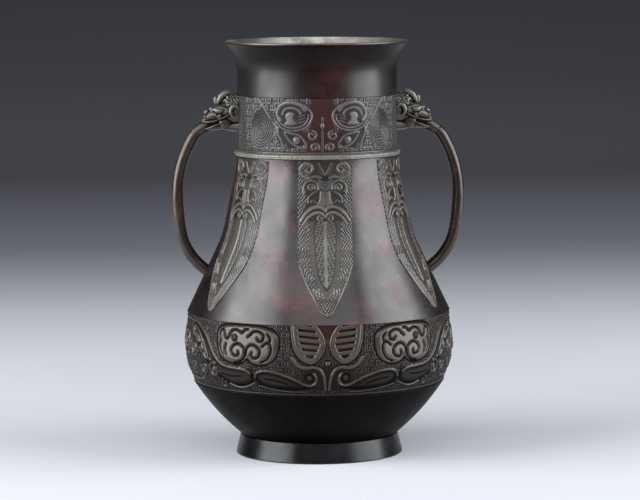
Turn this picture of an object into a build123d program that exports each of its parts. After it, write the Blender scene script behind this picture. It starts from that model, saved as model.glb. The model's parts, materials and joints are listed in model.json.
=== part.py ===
"""Bronze hu vessel: a pear-shaped vase on a spreading foot, with beast-head loop handles.

The vessel is cast in sections that are soldered and pinned together. The body is open at both ends. A
neck collar stands in its top, under a rib that hides the joint. A foot ring carries it, and a base plate
closes it from below. Each handle is a bar that runs from the jaws of a beast head on the neck down to the
shoulder. Relief masks go around belly and neck, and blades hang down the shoulder.

Frame: millimetres, +Z up, origin at the centre of the foot's resting plane, front towards -Y, handles on X.
"""

import os
from math import cos, degrees, radians, sin

from build123d import *

# Heights of the sections, from the resting plane up
FOOT_HEIGHT = 14.3
BOWL_HEIGHT = 39.5
BAND_HEIGHT = 51.2
SHOULDER_HEIGHT = 113.3
COLLAR_BAND_HEIGHT = 44.0
PLAIN_NECK_HEIGHT = 17.6
MOUTH_HEIGHT = 21.7

# Outer radii. The belly, flank and shoulder radii are where straight stretches meet, before rounding
FOOT_RADIUS = 61.1
FOOT_TOP_RADIUS = 57.6
BOWL_FOOT_RADIUS = 56.6
BOWL_TOP_RADIUS = 91.7
BELLY_RADIUS = 99.3
BAND_TOP_RADIUS = 95.9
FLANK_RADIUS = 69.6
SHOULDER_RADIUS = 59.2
NECK_RADIUS = 58.2
LIP_RADIUS = 66.7

# Heights of those meeting places above the start of their section, and the rounding there
BELLY_RISE = 20.0
BELLY_ROUND = 45.0
FLANK_RISE = 55.3
SHOULDER_RISE = 104.1
SHOULDER_ROUND = 80.0
BOWL_BULGE = 2.1

# Walls, and depths of the grounds below the top of their relief
WALL = 3.2
COLLAR_WALL = 3.0
BELLY_GROUND = 1.2
NECK_GROUND = 0.7

# Ornament: heights of the relief above its ground, and how far it is rooted below
RELIEF_ROOT = 0.5
HORN_RELIEF = 1.0
CLOUD_RELIEF = 1.2
LEAF_RELIEF = 0.8
LINE_RELIEF = 0.7
NECK_RELIEF = 0.6
BLADE_RELIEF = 0.4
BLADE_MASK_RELIEF = 0.8
BLADE_COUNT = 6
BLADE_TOP_GAP = 1.5
BLADE_TIP_GAP = 5.0
BLADE_FRAME_WIDTH = 1.5

# Lip of the mouth
LIP_THICKNESS = 1.8
LIP_ROUND = 0.7

# Joints between the castings
SOLDER_GAP = 0.1
SPIGOT_DEPTH = 8.0
SPIGOT_WALL = 2.4
RIB_HEIGHT = 4.0
RIB_WIDTH = 2.2
RIB_ROUND = 1.3
FOOT_SPIGOT_RADIUS = 50.5
FOOT_SPIGOT_DEPTH = 5.0
FOOT_EDGE = 4.6
FOOT_ROUND = 0.7
PLATE_THICKNESS = 2.5
PLATE_LEDGE = 3.4
FLOOR_RISE = 1.6
FLOOR_INSET = 1.6

# Beast heads: height of their middle above the neck joint, and the open jaws
HEAD_RISE = 31.0
JAW_REACH = 12.3
JAW_DROP = 5.1
JAW_GAPE = 1.9
HORN_ROOT = 3.1
HORN_TIP = 1.6

# Handle bars: straight in the jaws, then arcs that run into each other, then a tail into the shoulder
BAR_DIAMETER = 7.8
BAR_REACH = 16.8
BAR_DROP = 7.3
BAR_DIP = 27.0
BAR_LEAD = 12.0
BAR_BEND_RADII = (10.0, 79.0, 155.0, 43.0)
BAR_BEND_TURNS = (30.0, 33.0, 10.0, 39.0)
BAR_TAIL = 16.0

# Pins that hold the handles, put in from inside the vessel
PIN_DIAMETER = 4.0
PIN_HEAD_DIAMETER = 8.0
PIN_HEAD_HEIGHT = 1.8
PIN_REACH = 7.0
LOWER_PIN_REACH = 5.0
PIN_OFFSETS = (-4.0, 7.5)

# Levels and radii that follow from those
BAND_BOTTOM = FOOT_HEIGHT + BOWL_HEIGHT
BAND_TOP = BAND_BOTTOM + BAND_HEIGHT
NECK_JOINT = BAND_TOP + SHOULDER_HEIGHT
COLLAR_BAND_TOP = NECK_JOINT + COLLAR_BAND_HEIGHT
FLARE_START = COLLAR_BAND_TOP + PLAIN_NECK_HEIGHT
HEIGHT = FLARE_START + MOUTH_HEIGHT
HEAD_LEVEL = NECK_JOINT + HEAD_RISE
FLOOR_LEVEL = FOOT_HEIGHT + FLOOR_RISE
PLATE_TOP = FOOT_HEIGHT - FOOT_SPIGOT_DEPTH + PLATE_THICKNESS
PLATE_SEAT_RADIUS = FOOT_SPIGOT_RADIUS - WALL
BODY_MOUTH = SHOULDER_RADIUS - WALL
COLLAR_BORE = NECK_RADIUS - COLLAR_WALL
FLARE_RISE = MOUTH_HEIGHT - LIP_THICKNESS
FLARE_REACH = LIP_RADIUS - NECK_RADIUS
FLARE_RADIUS = (FLARE_RISE**2 + FLARE_REACH**2) / (2 * FLARE_REACH)

# Shape of a beast head's skull, from the neck out to the muzzle: reach from the neck's surface, height from
# the head's middle, half height and half width
HEAD_SECTIONS = (
    (-4.2, 0.5, 12.4, 9.0),
    (3.8, 0.5, 12.6, 10.2),
    (10.8, -1.1, 11.4, 9.8),
    (17.8, -4.7, 9.0, 7.8),
    (23.8, -7.9, 6.8, 6.4),
    (27.8, -11.1, 4.9, 5.1),
)
# Features on the +Y side of a head: reach, side and height as above, then half length, half width and half
# height
HEAD_FEATURES = {
    "brow": (14.4, 6.0, 6.7, 4.8, 2.6, 2.3),
    "eye": (16.2, 7.2, 2.5, 2.5, 2.3, 2.5),
    "cheek": (11.3, 8.2, -4.3, 5.2, 2.8, 4.4),
    "ear": (4.4, 10.2, 2.5, 3.6, 2.2, 4.4),
    "nostril": (23.4, 2.5, -1.3, 3.1, 2.9, 2.9),
}
HORN_PATH = ((13.8, 3.6, 7.5), (10.4, 5.4, 13.7), (2.8, 6.6, 15.1))


def turned(edges):
    """A solid of revolution about the vessel's axis, from a closed outline in (radius, height)."""
    return revolve(Plane.XZ * make_face(Curve() + edges), Axis.Z)


def mirrored(shape):
    """The same shape on the other handle's side."""
    return mirror(shape, about=Plane.YZ)


def rod(origin, direction, start, end, radius):
    """A round rod along a direction, from one distance from its origin to another."""
    place = Plane(origin=origin, z_dir=direction) * Pos(0, 0, start)
    return place * Cylinder(radius, end - start, align=(Align.CENTER, Align.CENTER, Align.MIN))


# Outlines of the body and the neck collar, in (radius, height)


def bowl_curve(start, end):
    return SagittaArc(start, end, -BOWL_BULGE)


def belly_curve(depth):
    """The belly band's line, that far inside the top of its relief."""
    low = (BOWL_TOP_RADIUS - depth, BAND_BOTTOM)
    middle = (BELLY_RADIUS - depth, BAND_BOTTOM + BELLY_RISE)
    high = (BAND_TOP_RADIUS - depth, BAND_TOP)
    return FilletPolyline(low, middle, high, radius=BELLY_ROUND)


def shoulder_curve(depth):
    """The shoulder's line, that far inside its surface."""
    low = (BAND_TOP_RADIUS - depth, BAND_TOP)
    flank = (FLANK_RADIUS - depth, BAND_TOP + FLANK_RISE)
    neck = (SHOULDER_RADIUS - depth, BAND_TOP + SHOULDER_RISE)
    high = (SHOULDER_RADIUS - depth, NECK_JOINT)
    return FilletPolyline(low, flank, neck, high, radius=SHOULDER_ROUND)


def body_outside(grow=0.0):
    """The body's outer line from the foot joint up to the neck joint, grown outwards."""
    bowl = bowl_curve((BOWL_FOOT_RADIUS + grow, FOOT_HEIGHT), (BOWL_TOP_RADIUS + grow, BAND_BOTTOM))
    belly = belly_curve(BELLY_GROUND - grow)
    shoulder = shoulder_curve(-grow)
    return [bowl, Line(bowl @ 1, belly @ 0), belly, Line(belly @ 1, shoulder @ 0), shoulder]


def body_inside(depth=0.0):
    """The body's inner line from the floor's edge up to the neck joint, moved inwards by depth."""
    belly = belly_curve(BELLY_GROUND + WALL + depth)
    bowl = bowl_curve((BOWL_FOOT_RADIUS - FLOOR_INSET - depth, FLOOR_LEVEL), belly @ 0)
    shoulder = shoulder_curve(WALL + depth)
    return [bowl, belly, Line(belly @ 1, shoulder @ 0), shoulder]


def flare(radius, level):
    """The mouth's flare at that distance from its centre, from the neck up to a level."""
    centre = NECK_RADIUS + FLARE_RADIUS
    rise = level - FLARE_START
    middle = rise / 2
    return ThreePointArc(
        (centre - radius, FLARE_START),
        (centre - (radius**2 - middle**2) ** 0.5, FLARE_START + middle),
        (centre - (radius**2 - rise**2) ** 0.5, level),
    )


def collar_outside(grow=0.0):
    """The collar's outer line from the neck joint up to the lip's lower edge, grown outwards."""
    ground = NECK_RADIUS - NECK_GROUND + grow
    curve = flare(FLARE_RADIUS - grow, HEIGHT - LIP_THICKNESS - grow)
    step = (NECK_RADIUS + grow, COLLAR_BAND_TOP)
    band = Polyline((ground, NECK_JOINT), (ground, COLLAR_BAND_TOP), step, curve @ 0)
    return [band, curve]


def filled(edges):
    """The solid inside an outer or inner line, closed to the axis."""
    low, high = edges[0] @ 0, edges[-1] @ 1
    return turned([*edges, Polyline(high, (0, high.Y), (0, low.Y), low)])


# Ornament: flat drawings, raised from the ground that they are on


class Canvas:
    """A flat drawing of ornament, in degrees around the vessel and hundredths of its field's height."""

    def __init__(self, radius, base, height):
        self.radius = radius
        self.base = base
        self.height = height

    def spread(self, points):
        """Points of the drawing in millimetres: along the surface, and above the resting plane."""
        unit = self.height / 100
        return [(radians(turn) * self.radius, self.base + rise * unit) for turn, rise in points]

    def sheet(self, *points):
        """The face inside a smooth line through the points, closed by a straight line."""
        curve = Spline(*self.spread(points))
        return make_face(curve + Line(curve @ 1, curve @ 0))

    def blob(self, *points):
        """The face inside a smooth closed line through the points."""
        return make_face(Spline(*self.spread(points), periodic=True))

    def stroke(self, width, *points):
        """A line of one width along a smooth curve through the points."""
        return trace(Spline(*self.spread(points)), line_width=width)

    def curl(self, width, radius, centre, start, sweep):
        """A line of one width along an arc, which is given by its start and sweep in degrees."""
        return trace(CenterArc(self.spread([centre])[0], radius, start, sweep), line_width=width)

    def disc(self, radius, centre):
        return Pos(*self.spread([centre])[0]) * Circle(radius)

    def raise_on(self, face, skin):
        """What a skin has over a face of the drawing, seen squarely at the face's middle."""
        middle = face.bounding_box().center().X
        view = Plane(origin=(0, 0, 0), x_dir=(1, 0, 0), z_dir=(0, -1, 0))
        prism = extrude(view * Pos(-middle, 0) * face, amount=2 * BELLY_RADIUS)
        return (Rot(0, 0, degrees(middle / self.radius)) * prism) & skin


def skin_between(low, high):
    """A skin of revolution between two lines that run alongside each other."""
    return turned([low, Line(low @ 1, high @ 1), high, Line(high @ 0, low @ 0)])


def belly_skin(height):
    return skin_between(belly_curve(BELLY_GROUND + RELIEF_ROOT), belly_curve(BELLY_GROUND - height))


def shoulder_skin(height):
    return skin_between(shoulder_curve(RELIEF_ROOT), shoulder_curve(-height))


def collar_skin(height):
    ground = NECK_RADIUS - NECK_GROUND
    low, high = NECK_JOINT, COLLAR_BAND_TOP
    inside, outside = ground - RELIEF_ROOT, ground + height
    return skin_between(Line((inside, low), (inside, high)), Line((outside, low), (outside, high)))


def mask_pair(half):
    """Half a mask on the front, with its other half, and the same mask on the back."""
    front = [*half, *(mirrored(shape) for shape in half)]
    return [*front, *(Rot(0, 0, 180) * shape for shape in front)]


def ladder_horn(canvas):
    """A belly mask's horn: an open leaf with rungs across it."""
    leaf = canvas.sheet(
        (5.6, 98), (2.6, 88), (1.6, 74), (2.9, 59), (7, 47), (11.7, 54), (14.6, 72), (15.8, 98)
    )
    gaps = canvas.sheet(
        (7.5, 96), (4.7, 88), (3.5, 75), (4.7, 63), (7, 53.5), (10.1, 59), (12.1, 74), (13.3, 96)
    )
    for rung in range(5):
        rise = 62 + 8.1 * rung
        gaps -= canvas.stroke(2.3, (0, rise - 0.8), (17.6, rise + 0.8))
    return leaf - gaps


def cloud_ear(canvas):
    """A belly mask's ear: a cloud with two scrolls and a wavy groove cut into it."""
    cloud = canvas.blob(
        (20.2, 72), (21.1, 56), (24.6, 46), (29.3, 43), (32.8, 47), (36.3, 47), (39.8, 43), (43.9, 46),
        (47.5, 54), (49.8, 68), (50.4, 82), (48.6, 92), (43.9, 96), (35.1, 97), (26.4, 96), (22.3, 88),
    )
    for centre, start in ((30.5, -150), (39.2, 40)):
        cloud -= canvas.curl(1.5, 5.4, (centre, 59), start, 290)
    return cloud - canvas.stroke(
        1.4, (22.8, 66), (24, 80), (26.9, 87), (29.9, 81), (32.8, 86), (35.7, 91), (38.7, 86), (41.6, 89),
        (44.5, 86), (46.9, 80), (48, 68), (46.3, 58),
    )


def belly_masks():
    """The relief of the two masks on the belly band."""
    canvas = Canvas(BELLY_RADIUS, BAND_BOTTOM, BAND_HEIGHT)
    jaw = canvas.blob(
        (68, 92), (60.3, 78), (53.9, 58), (48.6, 43), (42.8, 36), (35.1, 35), (32.8, 27), (34.6, 17),
        (39.8, 12), (45.7, 16), (51.6, 27), (56.8, 45), (62.1, 66),
    )
    tongue = canvas.blob(
        (31, 25), (28.1, 34.4), (22.3, 33.6), (16.4, 27.6), (10.5, 19.2), (6.4, 15), (9.4, 9.2),
        (16.4, 10.8), (24.6, 14),
    )
    lines = [
        canvas.curl(1.2, 3.2, (6.7, 22.4), 100, 170),
        canvas.stroke(1.2, (13.5, 52), (10.8, 44), (6.7, 42.4)),
        canvas.stroke(1.1, (3.5, 41), (2, 34), (0.6, 23)),
        canvas.curl(2.2, 7.0, (75, 60), 0, 270),
    ]
    half = [
        canvas.raise_on(ladder_horn(canvas), belly_skin(HORN_RELIEF)),
        canvas.raise_on(cloud_ear(canvas), belly_skin(CLOUD_RELIEF)),
        canvas.raise_on(jaw, belly_skin(LEAF_RELIEF)),
        canvas.raise_on(tongue, belly_skin(LEAF_RELIEF)),
    ]
    half += [canvas.raise_on(face, belly_skin(LINE_RELIEF)) for face in lines]
    return mask_pair(half)


def neck_masks():
    """The relief of the two masks on the neck collar."""
    canvas = Canvas(NECK_RADIUS, NECK_JOINT + RIB_HEIGHT, COLLAR_BAND_HEIGHT - RIB_HEIGHT)
    roundel = canvas.blob(
        (7.4, 69), (11.8, 51), (21.7, 43.5), (30.5, 51), (34.5, 69), (30.5, 89), (21.7, 95), (11.8, 89)
    )
    roundel -= canvas.blob(
        (8.9, 69), (12.8, 54), (21.7, 47), (29.5, 53.5), (32.9, 69), (29.5, 86), (21.7, 91), (12.8, 85.7)
    )
    faces = [
        roundel,
        canvas.stroke(2.4, (29.6, 64), (28, 78), (22.4, 84.5), (15.5, 79)),
        canvas.blob((13.8, 66), (17.7, 72), (22.6, 73), (25.4, 67), (23, 60), (16.7, 58.5)),
        canvas.stroke(1.5, (49.2, 96), (41.3, 73), (35.9, 53), (30.5, 27)),
        canvas.disc(3.9, (18.2, 26)) - canvas.disc(2.8, (18.2, 26)),
        canvas.disc(1.7, (18.2, 26)),
        canvas.curl(1.1, 3.2, (7.4, 33.3), 100, 250),
        canvas.curl(1.1, 3.0, (5.4, 12), -20, 250),
    ]
    for radius in (5.0, 8.0, 11.0):
        faces.append(canvas.curl(1.1, radius, (48.2, 38.3), 165, 210))
    skin = collar_skin(NECK_RELIEF)
    ridge = canvas.raise_on(canvas.stroke(1.6, (0, 7), (0, 66)), skin)
    half = [canvas.raise_on(face, skin) for face in faces]
    return [*mask_pair(half), ridge, Rot(0, 0, 180) * ridge]


def hanging_blades():
    """The relief of the blades around the shoulder, each with a mask at its head."""
    tip = BAND_TOP + BLADE_TIP_GAP
    canvas = Canvas(FLANK_RADIUS, tip, NECK_JOINT - BLADE_TOP_GAP - tip)
    edge = [(17, 100), (17, 34.6), (12.1, 19.6), (2.8, 2.2), (0, 0)]
    corner, taper, middle, end, point = canvas.spread(edge)
    right = [Line(corner, taper), ThreePointArc(taper, middle, end), Line(end, point)]
    left = [mirrored(curve) for curve in right]
    border = make_face(Curve() + right + left + [Line(corner, left[0] @ 0)])
    frame = border - offset(border, amount=-BLADE_FRAME_WIDTH)
    lip = ((-14, 61.2), (-9.9, 66.4), (-5, 68.7), (0, 66.8), (5, 68.7), (9.9, 66.4), (14, 61.2))
    mask = [
        canvas.stroke(2.6, *lip),
        canvas.blob((-5.3, 58), (0, 61.7), (5.3, 58), (4.3, 39.3), (0, 18.2), (-4.3, 39.3)),
        canvas.stroke(5.0, (0, 70.1), (0, 81.3)),
    ]
    for side in (-1, 1):
        mask.append(canvas.curl(2.0, 4.6, (side * 10.3, 93), 90 + side * 90, side * 290))
        mask.append(canvas.disc(2.3, (side * 8.7, 82.7)))
    front = [canvas.raise_on(frame, shoulder_skin(BLADE_RELIEF))]
    front += [canvas.raise_on(face, shoulder_skin(BLADE_MASK_RELIEF)) for face in mask]
    turns = [Rot(0, 0, 360 / BLADE_COUNT * place) for place in range(BLADE_COUNT)]
    return [turn * shape for turn in turns for shape in front]


# Castings


def make_body():
    outer, inner = body_outside(), body_inside()
    hole = PLATE_SEAT_RADIUS - PLATE_LEDGE
    bottom = FOOT_HEIGHT - FOOT_SPIGOT_DEPTH
    floor = Polyline(
        inner[0] @ 0,
        (hole, FLOOR_LEVEL),
        (hole, PLATE_TOP),
        (PLATE_SEAT_RADIUS, PLATE_TOP),
        (PLATE_SEAT_RADIUS, bottom),
        (FOOT_SPIGOT_RADIUS, bottom),
        (FOOT_SPIGOT_RADIUS, FOOT_HEIGHT),
        outer[0] @ 0,
    )
    body = turned([*outer, Line(outer[-1] @ 1, inner[-1] @ 1), *inner, floor])
    pin_hole = lower_pin_hole()
    body = body - pin_hole - mirrored(pin_hole)
    return body + belly_masks() + hanging_blades()


def make_neck_collar():
    spigot_radius = BODY_MOUTH - SOLDER_GAP
    spigot_bore = spigot_radius - SPIGOT_WALL
    spigot_end = NECK_JOINT - SPIGOT_DEPTH
    outer = collar_outside()
    inner = flare(FLARE_RADIUS + COLLAR_WALL, HEIGHT)
    lip = Polyline(outer[-1] @ 1, (LIP_RADIUS, HEIGHT), inner @ 1)
    spigot = Polyline(
        inner @ 0,
        (COLLAR_BORE, NECK_JOINT + SPIGOT_WALL),
        (spigot_bore, NECK_JOINT),
        (spigot_bore, spigot_end),
        (spigot_radius, spigot_end),
        (spigot_radius, NECK_JOINT),
        outer[0] @ 0,
    )
    collar = turned([*outer, lip, inner, spigot])
    rims = collar.edges().filter_by(GeomType.CIRCLE)
    collar = fillet([rim for rim in rims if rim.center().Z > FLARE_START + FLARE_RISE / 2], LIP_ROUND)
    for offset_up in PIN_OFFSETS:
        pin_hole = upper_pin_hole(offset_up)
        collar = collar - pin_hole - mirrored(pin_hole)
    return collar + neck_masks()


def make_neck_rib():
    bore = NECK_RADIUS - NECK_GROUND + SOLDER_GAP
    width = NECK_RADIUS + RIB_WIDTH - bore
    section = Rectangle(width, RIB_HEIGHT, align=(Align.MIN, Align.MIN))
    section = fillet(section.vertices().group_by(Axis.X)[-1], RIB_ROUND)
    return revolve(Plane.XZ * Pos(bore, NECK_JOINT) * section, Axis.Z)


def make_foot_ring():
    bore = FOOT_SPIGOT_RADIUS + SOLDER_GAP
    section = Polyline(
        (FOOT_RADIUS, 0),
        (FOOT_TOP_RADIUS, FOOT_HEIGHT),
        (bore, FOOT_HEIGHT),
        (bore, FOOT_HEIGHT - FOOT_SPIGOT_DEPTH),
        (FOOT_RADIUS - FOOT_EDGE, 0),
        close=True,
    )
    ring = turned([section])
    edges = ring.edges().filter_by(GeomType.CIRCLE).group_by(Axis.Z)[0]
    return fillet(edges, FOOT_ROUND)


def make_base_plate():
    radius = PLATE_SEAT_RADIUS - SOLDER_GAP
    top_down = (Align.CENTER, Align.CENTER, Align.MAX)
    return Pos(0, 0, PLATE_TOP) * Cylinder(radius, PLATE_THICKNESS, align=top_down)


# Handles, on the +X side


def heading(dip):
    """The direction that points outwards and dips by that angle."""
    return Vector(cos(radians(dip)), -sin(radians(dip)))


def bar_path():
    """A handle bar's centre line, in (reach, height), from the beast's jaws into the shoulder."""
    dip = BAR_DIP
    start = Vector(NECK_RADIUS + BAR_REACH, HEAD_LEVEL - BAR_DROP)
    edges = [Line(start, start + heading(dip) * BAR_LEAD)]
    for radius, turn in zip(BAR_BEND_RADII, BAR_BEND_TURNS):
        edges.append(JernArc(start=edges[-1] @ 1, tangent=heading(dip), radius=radius, arc_size=-turn))
        dip += turn
    end = edges[-1] @ 1
    edges.append(Line(end, end + heading(dip) * BAR_TAIL))
    return edges


def upright(point):
    """A point or direction of (reach, height) in the vessel's frame."""
    return Vector(point.X, 0, point.Y)


def make_handle_bar():
    path = Plane.XZ * (Curve() + bar_path())
    start = Plane(origin=path @ 0, z_dir=path % 0)
    bar = sweep(start * Circle(BAR_DIAMETER / 2), path=path)
    return bar - filled(body_outside(SOLDER_GAP)) - lower_pin_hole()


def ellipsoid(feature, side):
    reach, out, rise, along, across, up = feature
    place = Pos(NECK_RADIUS + reach, side * out, HEAD_LEVEL + rise)
    return place * scale(Sphere(1.0), by=(along, across, up))


def make_horn(side):
    points = [Vector(NECK_RADIUS + reach, side * out, HEAD_LEVEL + rise) for reach, out, rise in HORN_PATH]
    path = ThreePointArc(*points)
    root = Plane(origin=path @ 0, z_dir=path % 0) * Circle(HORN_ROOT)
    tip = Plane(origin=path @ 1, z_dir=path % 1) * Circle(HORN_TIP)
    horn = sweep([root, tip], path=path, multisection=True)
    return horn + Pos(*points[-1]) * Sphere(HORN_TIP) + Pos(*points[0]) * Sphere(HORN_ROOT)


def jaw_gape():
    """The wedge between the open jaws, from the corner of the mouth outwards."""
    reach = 2 * (HEAD_SECTIONS[-1][0] - JAW_REACH)
    wedge = make_face(Polyline((0, 0), (reach, -JAW_GAPE), (reach, JAW_GAPE), close=True))
    corner = Location((NECK_RADIUS + JAW_REACH, 0, HEAD_LEVEL - JAW_DROP), (0, BAR_DIP, 0))
    return corner * extrude(Plane.XZ * wedge, amount=4 * HEAD_SECTIONS[0][3], both=True)


def make_beast_head():
    facing = {"x_dir": (0, 1, 0), "z_dir": (1, 0, 0)}
    skull = [
        Plane(origin=(NECK_RADIUS + reach, 0, HEAD_LEVEL + rise), **facing) * Ellipse(width, height)
        for reach, rise, height, width in HEAD_SECTIONS
    ]
    head = loft(skull)
    for side in (-1, 1):
        for feature in HEAD_FEATURES.values():
            head += ellipsoid(feature, side)
        head += make_horn(side)
    lead = bar_path()[0]
    head -= jaw_gape()
    socket = BAR_DIAMETER / 2 + SOLDER_GAP
    head -= rod(upright(lead @ 0), upright(lead % 0), -SOLDER_GAP, 2 * BAR_LEAD, socket)
    head -= filled(collar_outside(SOLDER_GAP))
    for offset_up in PIN_OFFSETS:
        head -= upper_pin_hole(offset_up)
    return head


def upper_pin_hole(offset_up):
    middle = (0, 0, HEAD_LEVEL + offset_up)
    end = NECK_RADIUS + PIN_REACH + SOLDER_GAP
    return rod(middle, (1, 0, 0), COLLAR_BORE / 2, end, PIN_DIAMETER / 2 + SOLDER_GAP)


def make_upper_pin(offset_up):
    """A pin from the neck's bore into a beast head, with a head that follows the bore's curve."""
    middle = (0, 0, HEAD_LEVEL + offset_up)
    inside = COLLAR_BORE - PIN_HEAD_HEIGHT
    shank = rod(middle, (1, 0, 0), inside, NECK_RADIUS + PIN_REACH, PIN_DIAMETER / 2)
    cap = rod(middle, (1, 0, 0), inside, NECK_RADIUS, PIN_HEAD_DIAMETER / 2)
    bore = Pos(*middle) * Cylinder(COLLAR_BORE, 2 * PIN_HEAD_DIAMETER)
    return shank + (cap & bore)


def lower_pin_rod(start, radius):
    """A rod along the bar's tail, from start, counted from where the tail begins."""
    tail = bar_path()[-1]
    return rod(upright(tail @ 0), upright(tail % 0), start, BAR_TAIL, radius)


def lower_pin_hole():
    return lower_pin_rod(-LOWER_PIN_REACH - SOLDER_GAP, PIN_DIAMETER / 2 + SOLDER_GAP)


def make_lower_pin():
    """A pin from inside the body into a handle bar's lower end, with a head that follows the wall."""
    cavity = filled(body_inside())
    shank = lower_pin_rod(-LOWER_PIN_REACH, PIN_DIAMETER / 2) - cavity
    cap = lower_pin_rod(0, PIN_HEAD_DIAMETER / 2) & cavity
    return shank + (cap - filled(body_inside(PIN_HEAD_HEIGHT)))


def pair(shapes):
    """Pieces of the right handle together with those of the left one."""
    return Compound(children=[*shapes, *(mirrored(shape) for shape in shapes)])


def main():
    head = make_beast_head()
    bar = make_handle_bar()
    parts = {
        "body": make_body(),
        "neck_collar": make_neck_collar(),
        "neck_rib": make_neck_rib(),
        "foot_ring": make_foot_ring(),
        "base_plate": make_base_plate(),
        "right_beast_head": head,
        "left_beast_head": mirrored(head),
        "right_handle_bar": bar,
        "left_handle_bar": mirrored(bar),
        "upper_handle_pins": pair([make_upper_pin(offset_up) for offset_up in PIN_OFFSETS]),
        "lower_handle_pins": pair([make_lower_pin()]),
    }
    os.makedirs("parts", exist_ok=True)
    for name, shape in parts.items():
        export_step(shape, f"parts/{name}.step")


if __name__ == "__main__":
    main()
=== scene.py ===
"""Dressed model of a bronze hu vessel with beast-head loop handles.

Sizes are in millimetres until a mesh is made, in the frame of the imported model: +Z up, front towards -Y.
Ornament is drawn as heights over (along, up): the distance around the surface from the middle of its field,
and the height above the resting plane.
"""
import json
import math

import bpy
import numpy as np
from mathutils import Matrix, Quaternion, Vector

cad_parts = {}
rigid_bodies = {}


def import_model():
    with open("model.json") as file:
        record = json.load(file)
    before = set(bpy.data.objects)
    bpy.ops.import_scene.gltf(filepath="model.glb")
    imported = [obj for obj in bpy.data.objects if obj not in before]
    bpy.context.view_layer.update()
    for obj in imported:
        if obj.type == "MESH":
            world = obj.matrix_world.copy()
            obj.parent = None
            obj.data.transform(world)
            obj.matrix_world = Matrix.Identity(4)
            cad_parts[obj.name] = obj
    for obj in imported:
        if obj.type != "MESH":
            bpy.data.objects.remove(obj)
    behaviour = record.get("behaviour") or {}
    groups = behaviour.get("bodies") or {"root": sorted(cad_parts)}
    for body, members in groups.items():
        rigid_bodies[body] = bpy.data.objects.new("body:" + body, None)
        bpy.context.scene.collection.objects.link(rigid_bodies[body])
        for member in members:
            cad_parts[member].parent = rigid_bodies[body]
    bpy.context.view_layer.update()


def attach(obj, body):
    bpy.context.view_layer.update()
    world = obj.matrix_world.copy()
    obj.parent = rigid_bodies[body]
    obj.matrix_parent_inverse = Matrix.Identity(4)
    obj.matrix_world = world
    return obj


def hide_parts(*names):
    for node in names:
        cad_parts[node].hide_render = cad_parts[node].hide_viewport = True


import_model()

MM = 0.001

# Levels of the outside, as in the part's source
FOOT_HEIGHT = 14.3
BAND_BOTTOM = 53.8
BELLY_LEVEL = BAND_BOTTOM + 20
BAND_TOP = 105.0
FLANK_LEVEL = BAND_TOP + 55.3
SHOULDER_LEVEL = BAND_TOP + 104.1
NECK_JOINT = 218.3
COLLAR_BAND_TOP = 262.3
FLARE_START = 279.9
HEIGHT = 301.6
LIP_THICKNESS = 1.8

# Radii at those levels, and of the rounded corners between them
BOWL_FOOT_RADIUS = 56.6
BOWL_TOP_RADIUS = 91.7
BELLY_RADIUS = 99.3
BAND_TOP_RADIUS = 95.9
FLANK_RADIUS = 69.6
SHOULDER_RADIUS = 59.2
NECK_RADIUS = 58.2
LIP_RADIUS = 66.7
BELLY_ROUNDING = 45.0
SHOULDER_ROUNDING = 80.0
BOWL_BULGE = 2.1

# Walls, and how deep the grounds of the relief lie
WALL = 3.2
COLLAR_WALL = 3.0
BELLY_GROUND = 1.2
NECK_GROUND = 0.7

# Lower end of the body, with its seat for the base plate
BOTTOM_THICKNESS = 1.6
BOTTOM_OPENING = 43.9
PLATE_SEAT_RADIUS = 47.3
PLATE_SEAT_LEVEL = FOOT_HEIGHT - 2.5
BOTTOM_COLLAR_RADIUS = 50.5
BOTTOM_COLLAR_LEVEL = FOOT_HEIGHT - 5

# Bore of the neck, and the spigot under the neck joint
NECK_BORE = 55.2
SPIGOT_BORE = 53.5
SPIGOT_RADIUS = 55.9
SPIGOT_END = NECK_JOINT - 8

# Rib over the neck joint: a bead with a shallow groove a little under its middle
RIB_HEIGHT = 4.0
RIB_RADIUS = 58.4
RIB_SEAT_RADIUS = 57.6
RIB_SWELL = 1.9
RIB_GROOVE = 0.42

# Handle bars: their start in the jaws as (reach, height), their dip there in degrees, and their runs, each
# with a radius and a turn in degrees, or no radius and a length. As in the photo, they are a little thicker
# than the solid ones, and the right one bows further out.
BAR_START = (75.0, 242.0)
BAR_DIP = 27.0
BAR_RUNS = ((0, 12.0), (10.0, 30.0), (79.0, 33.0), (155.0, 10.0), (43.0, 39.0), (0, 16.0))
BAR_RADIUS = 4.25
RIGHT_BAR_BOW = 0.8

# Ornament: the spacing of its points, and the levels and radii of its drawings before they are fitted
GRID = 0.34
BELLY_DRAWING = (54.0, 104.0)
BELLY_DRAWN_RADIUS = 97.0
NECK_DRAWING = (217.5, 262.0)
NECK_DRAWN_RADIUS = 58.0
NECK_DRAWN_HEIGHT = 41.0
BLADE_DRAWING = (104.0, 217.5)
BLADE_LENGTH = 107.0
BLADE_WIDTH = 41.0
BLADE_LEAN = 1.6
BLADES = 6
FACES = (("front", 0), ("back", 180))


# Outlines in (radius, height)


def rounded_line(points, radius, steps=14):
    """The points with their inner corners rounded, as an array of (radius, height)."""
    points = [np.array(point, float) for point in points]
    line = [points[0]]
    for before, corner, after in zip(points, points[1:], points[2:]):
        back = (before - corner) / np.linalg.norm(before - corner)
        ahead = (after - corner) / np.linalg.norm(after - corner)
        half = math.acos(np.clip(back @ ahead, -1, 1)) / 2
        middle = corner + (back + ahead) / np.linalg.norm(back + ahead) * radius / math.sin(half)
        start = corner + back * radius / math.tan(half)
        end = corner + ahead * radius / math.tan(half)
        for share in np.linspace(0, 1, steps):
            arm = (start - middle) * (1 - share) + (end - middle) * share
            line.append(middle + arm / np.linalg.norm(arm) * radius)
    return np.array([*line, points[-1]])


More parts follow.
